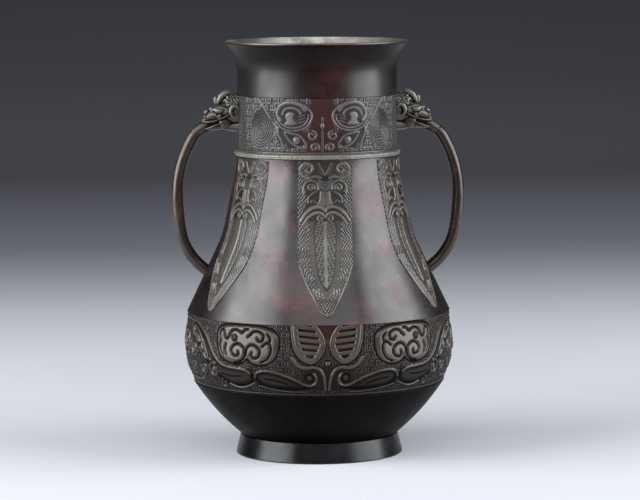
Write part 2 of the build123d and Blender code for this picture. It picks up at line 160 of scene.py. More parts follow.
def bulged_line(start, end, bulge, steps=20):
    """An arc from start to end that bulges outwards."""
    start, end = np.array(start, float), np.array(end, float)
    side = np.array([(end - start)[1], -(end - start)[0]]) / np.linalg.norm(end - start)
    shares = np.linspace(0, 1, steps)[:, None]
    return start + (end - start) * shares + side * bulge * 4 * shares * (1 - shares)


def belly_line(depth):
    """The belly band's outline, that far inside the outer surface."""
    points = [(BOWL_TOP_RADIUS, BAND_BOTTOM), (BELLY_RADIUS, BELLY_LEVEL), (BAND_TOP_RADIUS, BAND_TOP)]
    return rounded_line([(radius - depth, level) for radius, level in points], BELLY_ROUNDING)


def shoulder_line(depth):
    """The shoulder's outline, that far inside the outer surface."""
    points = [
        (BAND_TOP_RADIUS, BAND_TOP),
        (FLANK_RADIUS, FLANK_LEVEL),
        (SHOULDER_RADIUS, SHOULDER_LEVEL),
        (SHOULDER_RADIUS, NECK_JOINT),
    ]
    return rounded_line([(radius - depth, level) for radius, level in points], SHOULDER_ROUNDING)


def flare_line(depth, top):
    """The mouth's flare, that far inside the outer surface, up to a level."""
    rise, reach = HEIGHT - LIP_THICKNESS - FLARE_START, LIP_RADIUS - NECK_RADIUS
    radius = (rise**2 + reach**2) / (2 * reach) + depth
    levels = np.linspace(FLARE_START, top, 14)
    radii = NECK_RADIUS - depth + radius - np.sqrt(radius**2 - (levels - FLARE_START) ** 2)
    return np.stack([radii, levels], axis=1)


def wobble(turn, level):
    """Small unevenness of the cast wall."""
    slow = 0.10 * np.sin(3 * turn + 0.031 * level + 1.0) + 0.08 * np.sin(5 * turn - 0.052 * level + 2.1)
    return slow + 0.04 * np.sin(11 * turn + 0.09 * level) * np.sin(0.13 * level + 0.7)


# Meshes


def linked(name, data):
    """A new object in the scene."""
    made = bpy.data.objects.new(name, data)
    bpy.context.collection.objects.link(made)
    return made


def new_piece(name, points, faces, sharp=32, relief=None):
    """A smooth-shaded object that rides on the vessel, from points in millimetres."""
    mesh = bpy.data.meshes.new(name)
    mesh.from_pydata(np.asarray(points) * MM, [], faces)
    mesh.shade_smooth()
    mesh.set_sharp_from_angle(angle=math.radians(sharp))
    if relief is not None:
        values = mesh.attributes.new("relief", "FLOAT", "POINT").data
        values.foreach_set("value", np.asarray(relief, np.float32))
    piece = linked(name, mesh)
    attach(piece, "root")
    return piece


def ring_quads(rings, count, joined=False):
    """Faces between neighbouring rings of points, and between the last and the first if they are joined."""
    faces = []
    for row in range(rings if joined else rings - 1):
        low, high = row * count, (row + 1) % rings * count
        for column in range(count):
            after = (column + 1) % count
            faces.append((low + column, low + after, high + after, high + column))
    return faces


def turned_piece(name, loop, columns=288, uneven=None):
    """A ring of the closed (radius, height) loop, turned about the vessel's axis."""
    loop = np.asarray(loop, float)
    turns = np.linspace(0, 2 * math.pi, columns, endpoint=False)
    radii = loop[:, 0][:, None] + np.zeros(columns)
    levels = loop[:, 1][:, None] + np.zeros(columns)
    if uneven is not None:
        radii = radii + uneven(turns[None, :], levels)
    points = np.stack([radii * np.sin(turns), -radii * np.cos(turns), levels], axis=2).reshape(-1, 3)
    return new_piece(name, points, ring_quads(len(loop), columns, joined=True))


def relief_piece(name, line, levels, turns, heights, face, root=0.7, backs=10):
    """A thin closed sheet of relief on an outline, turned to face an angle in degrees.

    Its front stands above the outline by the heights. Its back, of fewer points, lies below it by the root.
    """
    radius = np.interp(levels, line[:, 1], line[:, 0])
    lean = np.gradient(radius, levels)
    out, up = 1 / np.hypot(1, lean), -lean / np.hypot(1, lean)

    def placed(turns, heights):
        turns = turns + math.radians(face)
        reach = (radius[:, None] + wobble(turns, levels[:, None])) + out[:, None] * heights
        rise = levels[:, None] + up[:, None] * heights
        return np.stack([reach * np.sin(turns), -reach * np.cos(turns), rise], axis=2)

    rows, columns = heights.shape
    shares = np.linspace(0, 1, backs)
    back_turns = turns[:, :1] * (1 - shares) + turns[:, -1:] * shares
    front, back = placed(turns, heights), placed(back_turns, np.full((rows, backs), -root))
    points = np.concatenate([front.reshape(-1, 3), back.reshape(-1, 3)])
    top = np.arange(rows * columns).reshape(rows, columns)
    under = rows * columns + np.arange(rows * backs).reshape(rows, backs)

    def quads(grid):
        return np.stack([grid[:-1, :-1], grid[:-1, 1:], grid[1:, 1:], grid[1:, :-1]], axis=2).reshape(-1, 4)

    faces = quads(top).tolist() + quads(under[:, ::-1]).tolist()
    for row in range(rows - 1):
        faces.append((top[row, 0], top[row + 1, 0], under[row + 1, 0], under[row, 0]))
        faces.append((top[row + 1, -1], top[row, -1], under[row, -1], under[row + 1, -1]))
    faces.append([*top[-1].tolist(), *under[-1][::-1].tolist()])
    faces.append([*top[0][::-1].tolist(), *under[0].tolist()])
    relief = np.concatenate([heights.ravel(), np.zeros(rows * backs)])
    return new_piece(name, points, faces, 60, relief)


# Drawing of relief


def curve(*points, steps=8):
    """A smooth path through the points."""
    knots = np.array([points[0], *points, points[-1]], float)
    shares = np.linspace(0, 1, steps, endpoint=False)[:, None]
    path = []
    for before, start, end, after in zip(knots, knots[1:], knots[2:], knots[3:]):
        bend = 2 * before - 5 * start + 4 * end - after
        twist = 3 * start - before - 3 * end + after
        path.append(0.5 * (2 * start + (end - before) * shares + bend * shares**2 + twist * shares**3))
    return np.concatenate([*path, knots[-1:]])


def closed(*points):
    """A smooth closed path through the points."""
    return curve(points[-1], *points, points[0], points[1])[8:-9]


def spiral(centre, outer, inner, start, turns):
    """A path that winds from an outer to an inner radius, from a start in degrees."""
    shares = np.linspace(0, 1, max(12, int(abs(turns) * 28)))
    angles = math.radians(start) + 2 * math.pi * turns * shares
    radii = outer + (inner - outer) * shares
    return np.stack([centre[0] + radii * np.cos(angles), centre[1] + radii * np.sin(angles)], axis=1)


def flip(path):
    """The same path on the other side of the field's middle."""
    return np.asarray(path) * (-1, 1)


def thunder(along, up, width, height, rings):
    """Ground of squared spirals in rows of cells, from 0 in the grooves to 1 on the lines."""
    row = np.floor(up / height)
    shift = along / width + 0.5 * (row % 2)
    column = np.floor(shift)
    side, rise = 2 * (shift - column) - 1, 2 * (up / height - row) - 1
    side = np.where((row + column) % 2 < 1, side, -side)
    quarter = np.where(np.abs(side) > np.abs(rise), np.where(side > 0, 0, 2), np.where(rise > 0, 1, 3))
    phase = np.maximum(np.abs(side), np.abs(rise)) * rings + quarter / 4
    return np.clip(0.5 + 0.9 * np.cos(2 * math.pi * phase), 0, 1)


class Relief:
    """Heights over a field of (along, up) points. On side -1, drawing is mirrored at the field's middle."""

    FLOOR = 0.06

    def __init__(self, along, up, ground):
        self.along, self.up = along, up
        self.heights = np.array(ground)
        self.side = 1

    def both_sides(self, draw):
        """Draw as given, and then mirrored."""
        for self.side in (1, -1):
            draw(self)
        self.side = 1

    def placed(self, path):
        return np.asarray(path, float) * (self.side, 1)

    def near(self, path, reach):
        """A mask of the points near a path, and their distances from it."""
        path = self.placed(path)
        low, high = path.min(axis=0) - reach, path.max(axis=0) + reach
        mask = (self.along > low[0]) & (self.along < high[0]) & (self.up > low[1]) & (self.up < high[1])
        spots = np.stack([self.along[mask], self.up[mask]], axis=1)
        best = np.full(len(spots), 1e9)
        for start, end in zip(path, path[1:]):
            run = end - start
            share = np.clip(((spots - start) @ run) / max(run @ run, 1e-9), 0, 1)
            gap = spots - start - share[:, None] * run
            best = np.minimum(best, (gap * gap).sum(axis=1))
        return mask, spots, np.sqrt(best)

    def depth_in(self, path):
        """A mask of the points near a closed path, and how far inside it they are."""
        path = np.concatenate([path, path[:1]])
        mask, spots, gap = self.near(path, 3)
        path = self.placed(path)
        inside = np.zeros(len(spots), bool)
        for (x0, y0), (x1, y1) in zip(path, path[1:]):
            crosses = (spots[:, 1] < y0) != (spots[:, 1] < y1)
            rise = y1 - y0 if y1 != y0 else 1e-9
            inside ^= crosses & (spots[:, 0] < x0 + (spots[:, 1] - y0) * (x1 - x0) / rise)
        return mask, np.where(inside, gap, -gap)

    def band(self, path, width, top, moat=0.5):
        """A rounded raised line along a path, with lowered ground beside it."""
        mask, _, gap = self.near(path, width / 2 + moat + 1)
        heights = self.heights[mask]
        heights = np.where(gap < width / 2 + moat, np.minimum(heights, self.FLOOR + 0.1 * top), heights)
        share = np.clip(gap / (width / 2), 0, 1)
        self.heights[mask] = np.maximum(heights, top * np.sqrt(1 - share**3))

    def line(self, points, width, top, moat=0.5):
        """A rounded raised line through points."""
        self.band(curve(*points), width, top, moat)

    def sheet(self, path, top, bevel=0.8, moat=0.6):
        """A raised form with bevelled edges."""
        mask, depth = self.depth_in(path)
        heights = self.heights[mask]
        heights = np.where(depth > -moat, np.minimum(heights, self.FLOOR), heights)
        rise = np.clip(depth / bevel, 0, 1)
        self.heights[mask] = np.maximum(heights, top * rise * (2 - rise))

    def plain(self, path, level):
        """A smooth area at one level."""
        mask, depth = self.depth_in(path)
        self.heights[mask] = np.where(depth > 0, level, self.heights[mask])

    def pocket(self, path, floor, bevel=0.5):
        """An area sunk to a floor."""
        mask, depth = self.depth_in(path)
        heights = self.heights[mask]
        share = np.clip(depth / bevel, 0, 1)
        self.heights[mask] = heights + (np.minimum(heights, floor) - heights) * share

    def groove(self, points, width, depth):
        """A rounded cut through points."""
        mask, _, gap = self.near(curve(*points), width)
        share = np.clip(gap / (0.72 * width), 0, 1)
        cut = self.heights[mask] - depth * (1 - share**2) ** 1.5
        self.heights[mask] = np.where(share < 1, np.maximum(cut, self.FLOOR), self.heights[mask])

    def boss(self, centre, radius, top):
        """A domed button."""
        centre = self.placed(centre)
        gap = np.hypot(self.along - centre[0], self.up - centre[1])
        self.heights = np.where(gap < radius + 0.6, np.minimum(self.heights, self.FLOOR), self.heights)
        self.heights = np.maximum(self.heights, top * np.sqrt(np.clip(1 - (gap / radius) ** 2, 0, 1)))

    def smooth(self):
        """The heights with their edges softened."""
        padded = np.pad(self.heights, 1, mode="edge")
        across = (padded[:, :-2] + 2 * padded[:, 1:-1] + padded[:, 2:]) / 4
        return (across[:-2] + 2 * across[1:-1] + across[2:]) / 4


# Ornament


def belly_relief(along, up):
    """Half a mask of the belly band, from its middle to the handle's side."""
    sway, lift = 0.35 * np.sin(0.83 * up + 0.21 * along), 0.3 * np.sin(0.67 * along - 0.3 * up)
    art = Relief(along, up, 0.1 + 0.5 * thunder(along + sway, up + lift, 6.2, 5.0, 1.9))
    art.plain([(-1, 76), (8, 76), (19, 70), (17, 62), (8, 58.5), (-1, 58.5)], 0.3)
    art.plain([(-1, 106), (6, 106), (3.4, 99), (1.2, 94), (-1, 94)], 0.3)
    jaw = closed(
        (119, 101), (105, 93.8), (96, 85.6), (88, 76.6), (78, 73), (64, 72.4), (57.5, 71), (55.6, 67),
        (57.5, 62.4), (65, 60), (75, 60), (85, 63.5), (94, 69.5), (102, 77), (110, 88),
    )
    art.sheet(jaw, 0.38, 5.0)
    edge = (
        (119, 101.6), (104, 94.4), (95.5, 86), (91, 80.4), (86, 76), (80, 73.4), (70, 72.4), (62, 71.8),
        (57.8, 69.6),
    )
    art.line(edge, 1.6, 1.35, 0.2)
    art.line(((121, 95.5), (111, 91), (104, 85), (97, 77), (92, 72.4), (87, 68.6)), 1.3, 1.0, 0.3)
    art.groove(((84, 67.8), (76, 66.4), (66, 67)), 1.0, 0.35)
    art.line(((78, 60.6), (70, 58.6), (63, 59.4), (55, 62.6)), 1.3, 0.95)
    tongue = closed(
        (53.6, 68), (49, 71.4), (40, 71.3), (30, 68.8), (21, 64.8), (14, 62), (10, 61), (18, 59.4), (28, 59),
        (40, 59.4), (50, 62),
    )
    art.sheet(tongue, 0.38, 5.0)
    edge = (
        (54, 66.8), (52, 70.2), (46, 71.8), (38, 71), (28, 68), (21, 64.8), (16.4, 62.6), (12, 62),
        (8.8, 63.8), (8, 67.2), (9.6, 70.4),
    )
    art.line(edge, 1.5, 1.3, 0.2)
    art.groove(((46, 66.2), (38, 65.2), (29, 63)), 1.0, 0.35)
    art.line(((52, 61), (42, 59), (30, 57.6), (16, 57.2)), 1.1, 0.8)
    art.boss((13, 67.6), 2.6, 0.5)
    ladder_horn(art)
    cloud_ear(art)
    art.line(((25.4, 81.6), (21.4, 77), (16.6, 74.8), (10.6, 75.2)), 2.4, 1.25)
    art.line(((10, 75.2), (6, 73.8), (3.4, 70.4), (1.8, 65), (1.2, 59)), 2.0, 1.15)
    art.boss((0, 77.6), 1.8, 1.2)
    belly_side(art)
    art.line(((-2, 55.4), (160, 55.4)), 0.9, 0.75)
    return art.smooth()


def ladder_horn(art):
    """A horn of the belly mask: an open leaf with a grooved rim and rungs."""
    leaf = curve((8.8, 106), (3.2, 98), (1.3, 91), (3.4, 83.4), (11, 77), (20, 80.8), (25.2, 90), (27.2, 106))
    art.sheet(leaf, 1.3, 1.7)
    art.groove(
        ((25.2, 104), (23.4, 91), (18.8, 82.8), (11.2, 79), (5.2, 84.2), (3.0, 91), (4.8, 97.6)), 1.1, 0.5
    )
    gap = curve((11.6, 106), (7, 98), (5, 91.3), (7.2, 85.3), (11, 81), (16.4, 83.5), (20, 91), (22.2, 106))
    art.pocket(gap, 0.1)
    mask, depth = art.depth_in(gap)
    up, along = art.up[mask], art.along[mask]
    share = np.clip(np.abs((up - 0.10 * (along - 13) - 1.1) % 4.3 - 2.15) / 1.45, 0, 1)
    rungs = 1.05 * np.sqrt(1 - share**3) * np.clip(depth / 0.4, 0, 1)
    rungs = np.where((depth > 0) & (up > 82), rungs, 0)
    art.heights[mask] = np.maximum(art.heights[mask], rungs)


def cloud_ear(art):
    """An ear of the belly mask: a cloud with scrolls cut into it."""
    cloud = closed(
        (34.8, 93), (35.4, 86), (38, 80.4), (43, 76.9), (50, 75.6), (56, 77), (59.2, 79.6), (62.4, 77),
        (68, 75.6), (76, 76.4), (82, 79.3), (86.2, 85), (88, 92), (86.6, 98.4), (80, 101.6), (66, 102.5),
        (50, 102.2), (40.4, 100), (36.2, 97),
    )
    art.sheet(cloud, 1.7, 3.2, 0.9)
    scrolls = (
        (
            (70, 76.2), (65.4, 77.5), (62.2, 80), (61, 84), (62.6, 87.6), (67, 89.6), (71, 88), (72.6, 84.8),
            (71.2, 82.2), (68.6, 81.2), (66.2, 82.2), (66.4, 84.2),
        ),
        (
            (60, 82.4), (59.2, 86.8), (55.6, 89.4), (51.2, 88.2), (48.8, 84.8), (50, 81.4), (53.4, 80.2),
            (55.8, 82), (55, 84.2),
        ),
        (
            (84.6, 94.4), (84.4, 97.4), (82, 98.6), (80, 96.5), (79.2, 93.6), (77, 92.6), (75.2, 94.6),
            (73.5, 97.6), (70, 99.2), (66.5, 98.4), (64, 97.2), (62.4, 98.4), (61, 99.9), (58.8, 99.8),
        ),
        (
            (58.8, 94.6), (56.8, 96.2), (54.5, 98.4), (51, 98.9), (47.6, 97.6), (46.2, 95), (47.4, 92.4),
            (50, 92.2), (51.2, 94),
        ),
        ((72.4, 94.4), (71.4, 92.2), (69.2, 91.9), (68.6, 94), (70, 95)),
        ((83.2, 91.6), (84.2, 87.5), (83, 84), (80.4, 81.2)),
        ((78, 88.8), (78.8, 85.2), (77.6, 81.8)),
        ((43.4, 97), (41.4, 94.4), (41.8, 91.6), (44.8, 90.6), (46.8, 88.6)),
        ((41.4, 90), (40.4, 87), (41, 83.4), (43.6, 79.8), (48, 77.6)),
    )
    for points in scrolls:
        art.groove(points, 1.75, 1.7)


def belly_side(art):
    """Curls between the two masks, under the handles."""
    leaf = (
        (122, 98.6), (114, 96.4), (106, 90), (100.4, 83), (97.6, 77.4), (100, 75.4), (105, 77.6), (111, 83),
        (117, 88.6), (124, 92),
    )
    art.sheet(closed(*leaf), 1.3, 1.3, 0.8)
    for points in (
        ((119, 95.4), (112.6, 92.4), (108.6, 88.2), (109.2, 85.6), (112, 86)),
        ((105.8, 86.8), (103.4, 83.4), (104.2, 81), (106.4, 81.6)),
        ((101.4, 80.6), (100, 78)),
    ):
        art.groove(points, 2.1, 1.3)
    art.band(spiral((92.4, 69.6), 5.2, 3.4, 120, -0.9), 1.7, 1.3, 0.8)
    art.boss((92.4, 69.6), 2.2, 1.5)
    art.band(spiral((104.6, 69.4), 4.4, 1.0, 20, -1.3), 1.6, 1.2, 0.6)
    art.band(spiral((83.4, 60.4), 3.2, 1.4, 60, -0.8), 1.5, 1.1, 0.6)
    art.band(spiral((119, 82), 5.4, 1.0, 200, 1.6), 1.7, 1.2, 0.6)
    art.band(spiral((137, 86), 10.5, 1.2, 180, 1.9), 1.9, 1.2)
    art.band(spiral((122, 69), 5.6, 1.0, -30, -1.5), 1.5, 1.0)
    art.band(spiral((141, 67.5), 5.6, 1.0, 200, 1.5), 1.5, 1.0)
    art.line(((104, 66), (112, 61), (124, 60), (136, 60.4), (153, 59)), 1.4, 0.9)
    art.line(((122, 100.4), (132, 101.4), (153, 101)), 1.4, 0.9)
    art.boss((152.4, 85), 3.2, 1.3)
    art.boss((131, 77), 1.7, 1.0)


def neck_relief(along, up):
    """The mask on one face of the neck collar."""
    side = np.abs(along)
    oval = np.hypot((side - 48 + 0.16 * (up - 239)) / 12.8, (up - 239) / 15.0)
    uneven = 0.09 * np.sin(0.9 * up + 0.5 * side)
    lines = np.clip(0.5 + 0.9 * np.cos(2 * math.pi * (oval * 7.5 + uneven)), 0, 1)
    lines = lines * np.clip((252 - up) / 14, 0.3, 1)
    waves = np.clip(0.5 + 0.9 * np.cos(2 * math.pi * (up + 1.6 * np.sin(side * 0.55)) / 2.1), 0, 1)
    ground = 0.08 + 0.52 * thunder(side, up, 5.4, 4.6, 1.7)
    ground = np.where(side > 66, 0.08 + 0.5 * waves, ground)
    ground = np.where(oval < 1, 0.1 + 0.42 * lines, ground)
    art = Relief(along, up, ground)
    art.plain(
        [(-8, 262), (8, 262), (7, 248), (9, 238), (11.5, 222), (-11.5, 222), (-9, 238), (-7, 248)], 0.16
    )
    art.line(((0, 223.4), (0, 248)), 1.5, 0.6, 0.2)
    art.sheet([(0, 245.2), (1.6, 242), (0, 238.8), (-1.6, 242)], 0.85, 0.8, 0.1)
    art.both_sides(neck_mask_half)
    art.line(((-95, 222.3), (95, 222.3)), 1.0, 0.7)
    return art.smooth()


def neck_mask_half(art):
    """The roundel, eye and scrolls of one side of a neck mask."""
    art.plain(closed((14, 228), (30, 226), (33, 240), (20, 240), (9, 236)), 0.15)
    art.plain(
        closed(
            (6.6, 249), (11, 240.4), (21, 237.8), (31.4, 240.6), (35.6, 249), (31.4, 257.8), (21, 260.6),
            (11, 257.8),
        ),
        0.14,
    )
    rim = (
        (12.6, 257), (8.2, 252), (7.6, 247), (11.2, 241.6), (17, 239.2), (24, 238.8), (30.6, 241), (34, 245)
    )
    art.line(rim, 1.2, 0.95, 0.1)
    art.line(
        ((9.8, 250), (10, 247), (13, 243), (18, 241), (24, 240.9), (29, 242.6), (31.6, 245)), 1.0, 0.7, 0.1
    )
    hook = ((31, 245.6), (33.4, 250), (31.8, 255.4), (26.6, 258.6), (20, 258.8), (14.6, 256.6), (12.6, 253.6))
    art.line(hook, 2.9, 1.25, 0.2)
    art.line(((29.4, 250.2), (27.4, 253.8), (22.4, 255.2), (17.4, 253.6), (15.4, 250.8)), 1.7, 1.05, 0.3)
    stem = closed(
        (26.4, 251), (23, 252.4), (19.6, 251), (20.4, 248.6), (20, 245.8), (17.4, 243.4), (23, 242.2),
        (28.4, 243), (26.2, 245.8), (27.4, 248.4),
    )
    art.sheet(stem, 0.8, 1.0, 0.3)
    for level in (244.4, 246.6, 248.8):
        art.line(((16.6, level), (14.2, level + 0.6), (12.2, level + 1.6)), 0.8, 0.55, 0.2)
    art.line(((50.6, 261.4), (42.4, 251.2), (36.6, 243.4), (31, 232.6), (28.6, 226)), 1.5, 1.0)
    art.sheet([(38.6, 246), (35, 243.6), (31.6, 240.8), (31.4, 234.4)], 0.7, 0.9, 0.2)
    lid = closed(
        (27.6, 237.2), (22, 236.6), (17, 235.4), (13.4, 231.8), (11.6, 227), (16.4, 227), (21, 228.8),
        (24.8, 232.4),
    )
    art.band(np.concatenate([lid, lid[:1]]), 1.2, 0.8, 0.2)
    art.boss((18.7, 231.8), 2.8, 1.15)
    art.band(spiral((7.6, 235.2), 3.6, 1.1, 100, 1.15), 1.2, 0.85, 0.1)
    art.band(spiral((5.6, 226.6), 3.3, 1.0, 200, -1.15), 1.2, 0.85, 0.1)
    for step in range(3):
        art.line(((24.6 + 1.8 * step, 224), (27 + 1.8 * step, 229)), 0.8, 0.6, 0.1)


def blade_half_width(up):
    """Half the width of a hanging blade at a level."""
    levels = (109.0, 109.6, 111.5, 121.0, 130.0, 137.0, 143.0, 147.0, 217.0)
    widths = (0.6, 2.0, 4.0, 9.2, 13.8, 16.8, 18.8, 19.6, 19.6)
    return np.interp(up, levels, widths)


def saw(value):
    """A zigzag between 0 and 1 with a period of 1."""
    return np.abs(2 * (value - np.floor(value)) - 1)


def blade_ground(along, up):
    """Nested zigzags along a blade's edges, broken into short strokes, and a plain middle."""
    inset = blade_half_width(up) - np.abs(along)
    sway = 4.6 * saw(up / 13.5) * np.clip((up - 118) / 8, 0, 1)
    lines = np.clip(0.5 + 0.9 * np.cos(2 * math.pi * (inset + sway) / 2.0), 0, 1)
    strokes = np.clip(0.95 + 0.5 * np.cos(2 * math.pi * (up / 3.1 + 0.3 * np.abs(along))), 0.5, 1)
    edge = np.clip((8.6 - inset) / 0.6, 0, 1)
    return 0.28 * (1 - edge) + (0.08 + 0.56 * lines * strokes) * edge


def blade_relief(along, up):
    """A hanging blade with a mask at its head and a long tongue."""
    art = Relief(along, up, blade_ground(along, up))
    side = curve((7.4, 172.4), (7.2, 160), (6.6, 150), (5.2, 139), (3.0, 132), (0, 127.6))
    tongue = np.concatenate([curve((0, 175), (4.6, 174.4), (7.4, 172.4)), side])
    tongue = np.concatenate([tongue, flip(tongue)[::-1]])
    art.sheet(tongue, 0.42, 0.6)
    mask, depth = art.depth_in(tongue)
    waves = art.up + 0.5 * np.abs(art.along) + 0.35 * np.sin(2.4 * art.along)
    strokes = np.clip(0.5 + 0.9 * np.cos(2 * math.pi * waves / 1.9), 0, 1)
    strokes *= np.clip(0.6 + 0.8 * np.cos(2 * math.pi * (np.abs(art.along) / 2.5 + art.up / 7)), 0.2, 1)
    art.heights[mask] -= np.where((depth > 0.5) & (np.abs(art.along[mask]) > 1.2), 0.34 * strokes[mask], 0)
    art.line(((0, 173), (0, 130)), 2.0, 0.62, 0.0)
    blade_mask(art)
    art.both_sides(blade_edge)
    return art.smooth()


def blade_edge(art):
    """The raised border of one side of a blade's point."""
    edge = ((18.8, 144.6), (16.4, 137.2), (13.3, 130.2), (8.7, 121.2), (4.6, 113.2), (0, 110.2))
    art.line(edge, 1.3, 0.9, 0.3)


def blade_mask(art):
    """The mask at a blade's head."""
    face = ((0, 206), (8, 205), (13.6, 201), (13.2, 188), (15.6, 177), (8, 174), (0, 176))
    art.plain(closed(*face, *(flip(face)[::-1][1:-1])), 0.16)
    for level in (196.6, 198, 199.4, 200.8, 202.2):
        wide = 3.4 + 0.3 * (level - 196.6)
        sag = (
            (-wide, level + 1.5), (-2, level - 0.1), (0, level - 0.5), (2, level - 0.1), (wide, level + 1.5)
        )
        art.line(sag, 0.8, 0.6, 0.1)
    art.both_sides(blade_mask_half)


def blade_mask_half(art):
    """Nose, lips, eye, ear and horns of one side of a blade's mask."""
    nose = ((3.0, 195.6), (3.4, 189.6), (5.4, 186.2), (9.4, 184.2))
    lip = ((17.2, 174.6), (14.2, 179.6), (9.6, 183.6), (4.8, 185), (1.4, 183.4), (0, 181.6))
    low_lip = ((15.8, 172.6), (12.4, 177.2), (7.8, 180.4), (3.8, 180.8), (1.2, 179.4), (0, 178.0))
    art.sheet(np.concatenate([curve(*nose), [(4.8, 184.6), (0, 182.4), (0, 195.6)]]), 0.55, 0.8, 0.3)
    art.line(nose, 0.9, 0.8, 0.1)
    art.groove(((1.3, 195), (1.5, 186)), 0.7, 0.3)
    art.line(lip, 2.3, 1.0, 0.3)
    art.line(low_lip, 2.1, 0.85, 0.3)
    art.groove(((16.6, 173.4), (13.3, 178.4), (8.8, 182), (4.4, 183), (1.4, 181.4), (0, 179.8)), 1.2, 1.0)
    art.band(spiral((3.4, 176.4), 2.2, 0.8, 80, -1.0), 1.0, 0.6, 0.4)
    art.line(((6.2, 195.6), (9, 194), (11.8, 191), (12.2, 187.4)), 1.0, 0.7, 0.2)
    art.line(((6.4, 187.4), (8.6, 189.2), (10.2, 188)), 0.9, 0.6, 0.3)
    art.line(((4.6, 196.6), (5.4, 200.8), (8.8, 203.2), (13, 202), (15.2, 198.2), (15, 193)), 1.1, 0.75, 0.2)
    art.band(spiral((9.8, 198.2), 3.0, 0.8, 200, -1.2), 1.0, 0.7, 0.1)
    horn = (
        (3.4, 205), (6.6, 206), (11.4, 204.8), (16.6, 207.2), (17.6, 211.4), (14.6, 215), (10, 214),
        (8.8, 210.8), (11.2, 208.8), (13.4, 210),
    )
    art.line(horn, 1.5, 0.95, 0.2)
    art.line(((8.2, 205.4), (11.6, 203.6), (15.6, 204.4), (18.6, 207.4)), 0.8, 0.5, 0.1)
    art.line(((4.4, 215), (1.8, 209.6), (0, 206.8)), 1.0, 0.7, 0.1)
    art.line(((6.4, 215.4), (3.4, 209.2), (1.6, 206.6)), 0.8, 0.5, 0.1)


def make_belly_ornament():
    levels = np.linspace(BAND_BOTTOM + 0.4, BAND_TOP - 0.3, int((BAND_TOP - BAND_BOTTOM) / GRID))
    turns = np.linspace(0, math.pi / 2, int(BELLY_DRAWN_RADIUS * math.pi / 2 / GRID))
    drawn = np.interp(levels, (BAND_BOTTOM, BAND_TOP), BELLY_DRAWING)
    half = belly_relief(*np.meshgrid(turns * BELLY_DRAWN_RADIUS, drawn))
    turns = np.tile(turns, (len(levels), 1))
    line = belly_line(BELLY_GROUND)
    for name, face in FACES:
        relief_piece(f"belly_{name}_right", line, levels, turns, half, face)
        relief_piece(f"belly_{name}_left", line, levels, -turns[:, ::-1], half[:, ::-1], face)


def make_neck_ornament():
    bottom, top = NECK_JOINT + RIB_HEIGHT - 0.3, COLLAR_BAND_TOP - 0.15
    levels = np.linspace(bottom, top, int(NECK_DRAWN_HEIGHT / GRID))
    turns = np.linspace(-math.pi / 2, math.pi / 2, int(NECK_DRAWN_RADIUS * math.pi / GRID))
    drawn = np.interp(levels, (NECK_JOINT, COLLAR_BAND_TOP), NECK_DRAWING)
    mask = neck_relief(*np.meshgrid(turns * NECK_DRAWN_RADIUS, drawn))
    turns = np.tile(turns, (len(levels), 1))
    ground = NECK_RADIUS - NECK_GROUND
    line = np.array([(ground, NECK_JOINT), (ground, COLLAR_BAND_TOP)])
    for name, face in FACES:
        relief_piece(f"neck_{name}", line, levels, turns, mask, face)


def make_blades():
    levels = np.linspace(BAND_TOP + 5, NECK_JOINT - 0.9, int(BLADE_LENGTH / GRID))
    drawn = np.interp(levels, (BAND_TOP, NECK_JOINT), BLADE_DRAWING)
    across = np.linspace(-1, 1, int(BLADE_WIDTH / GRID))
    along = blade_half_width(drawn)[:, None] * across
    blade = blade_relief(along, drawn[:, None] + 0 * across)
    line = shoulder_line(0)
    lean = BLADE_LEAN * (levels - BAND_TOP) / (NECK_JOINT - BAND_TOP)
    turns = (along + lean[:, None]) / np.interp(levels, line[:, 1], line[:, 0])[:, None]
    for place in range(BLADES):
        relief_piece(f"blade_{place + 1}", line, levels, turns, blade, 360 / BLADES * place)


# Plain castings


def make_body():
    bowl = bulged_line((BOWL_FOOT_RADIUS, FOOT_HEIGHT), (BOWL_TOP_RADIUS, BAND_BOTTOM), BOWL_BULGE)
    outside = [bowl, belly_line(BELLY_GROUND), shoulder_line(0)]
    bottom = FOOT_HEIGHT + BOTTOM_THICKNESS
    inner_belly = belly_line(BELLY_GROUND + WALL)
    inner_bowl = bulged_line((BOWL_FOOT_RADIUS - BOTTOM_THICKNESS, bottom), inner_belly[0], BOWL_BULGE)
    inside = [shoulder_line(WALL)[::-1], inner_belly[::-1], inner_bowl[::-1]]
    seat = [
        (BOTTOM_OPENING, bottom),
        (BOTTOM_OPENING, PLATE_SEAT_LEVEL),
        (PLATE_SEAT_RADIUS, PLATE_SEAT_LEVEL),
        (PLATE_SEAT_RADIUS, BOTTOM_COLLAR_LEVEL),
        (BOTTOM_COLLAR_RADIUS, BOTTOM_COLLAR_LEVEL),
        (BOTTOM_COLLAR_RADIUS, FOOT_HEIGHT),
    ]

    def cast_wall(turn, level):
        return np.where(level > FOOT_HEIGHT + 0.5, wobble(turn, level), 0)

    loop = np.concatenate([*outside, *inside, seat])
    body = turned_piece("vessel_body", loop, uneven=cast_wall)
    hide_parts("body")


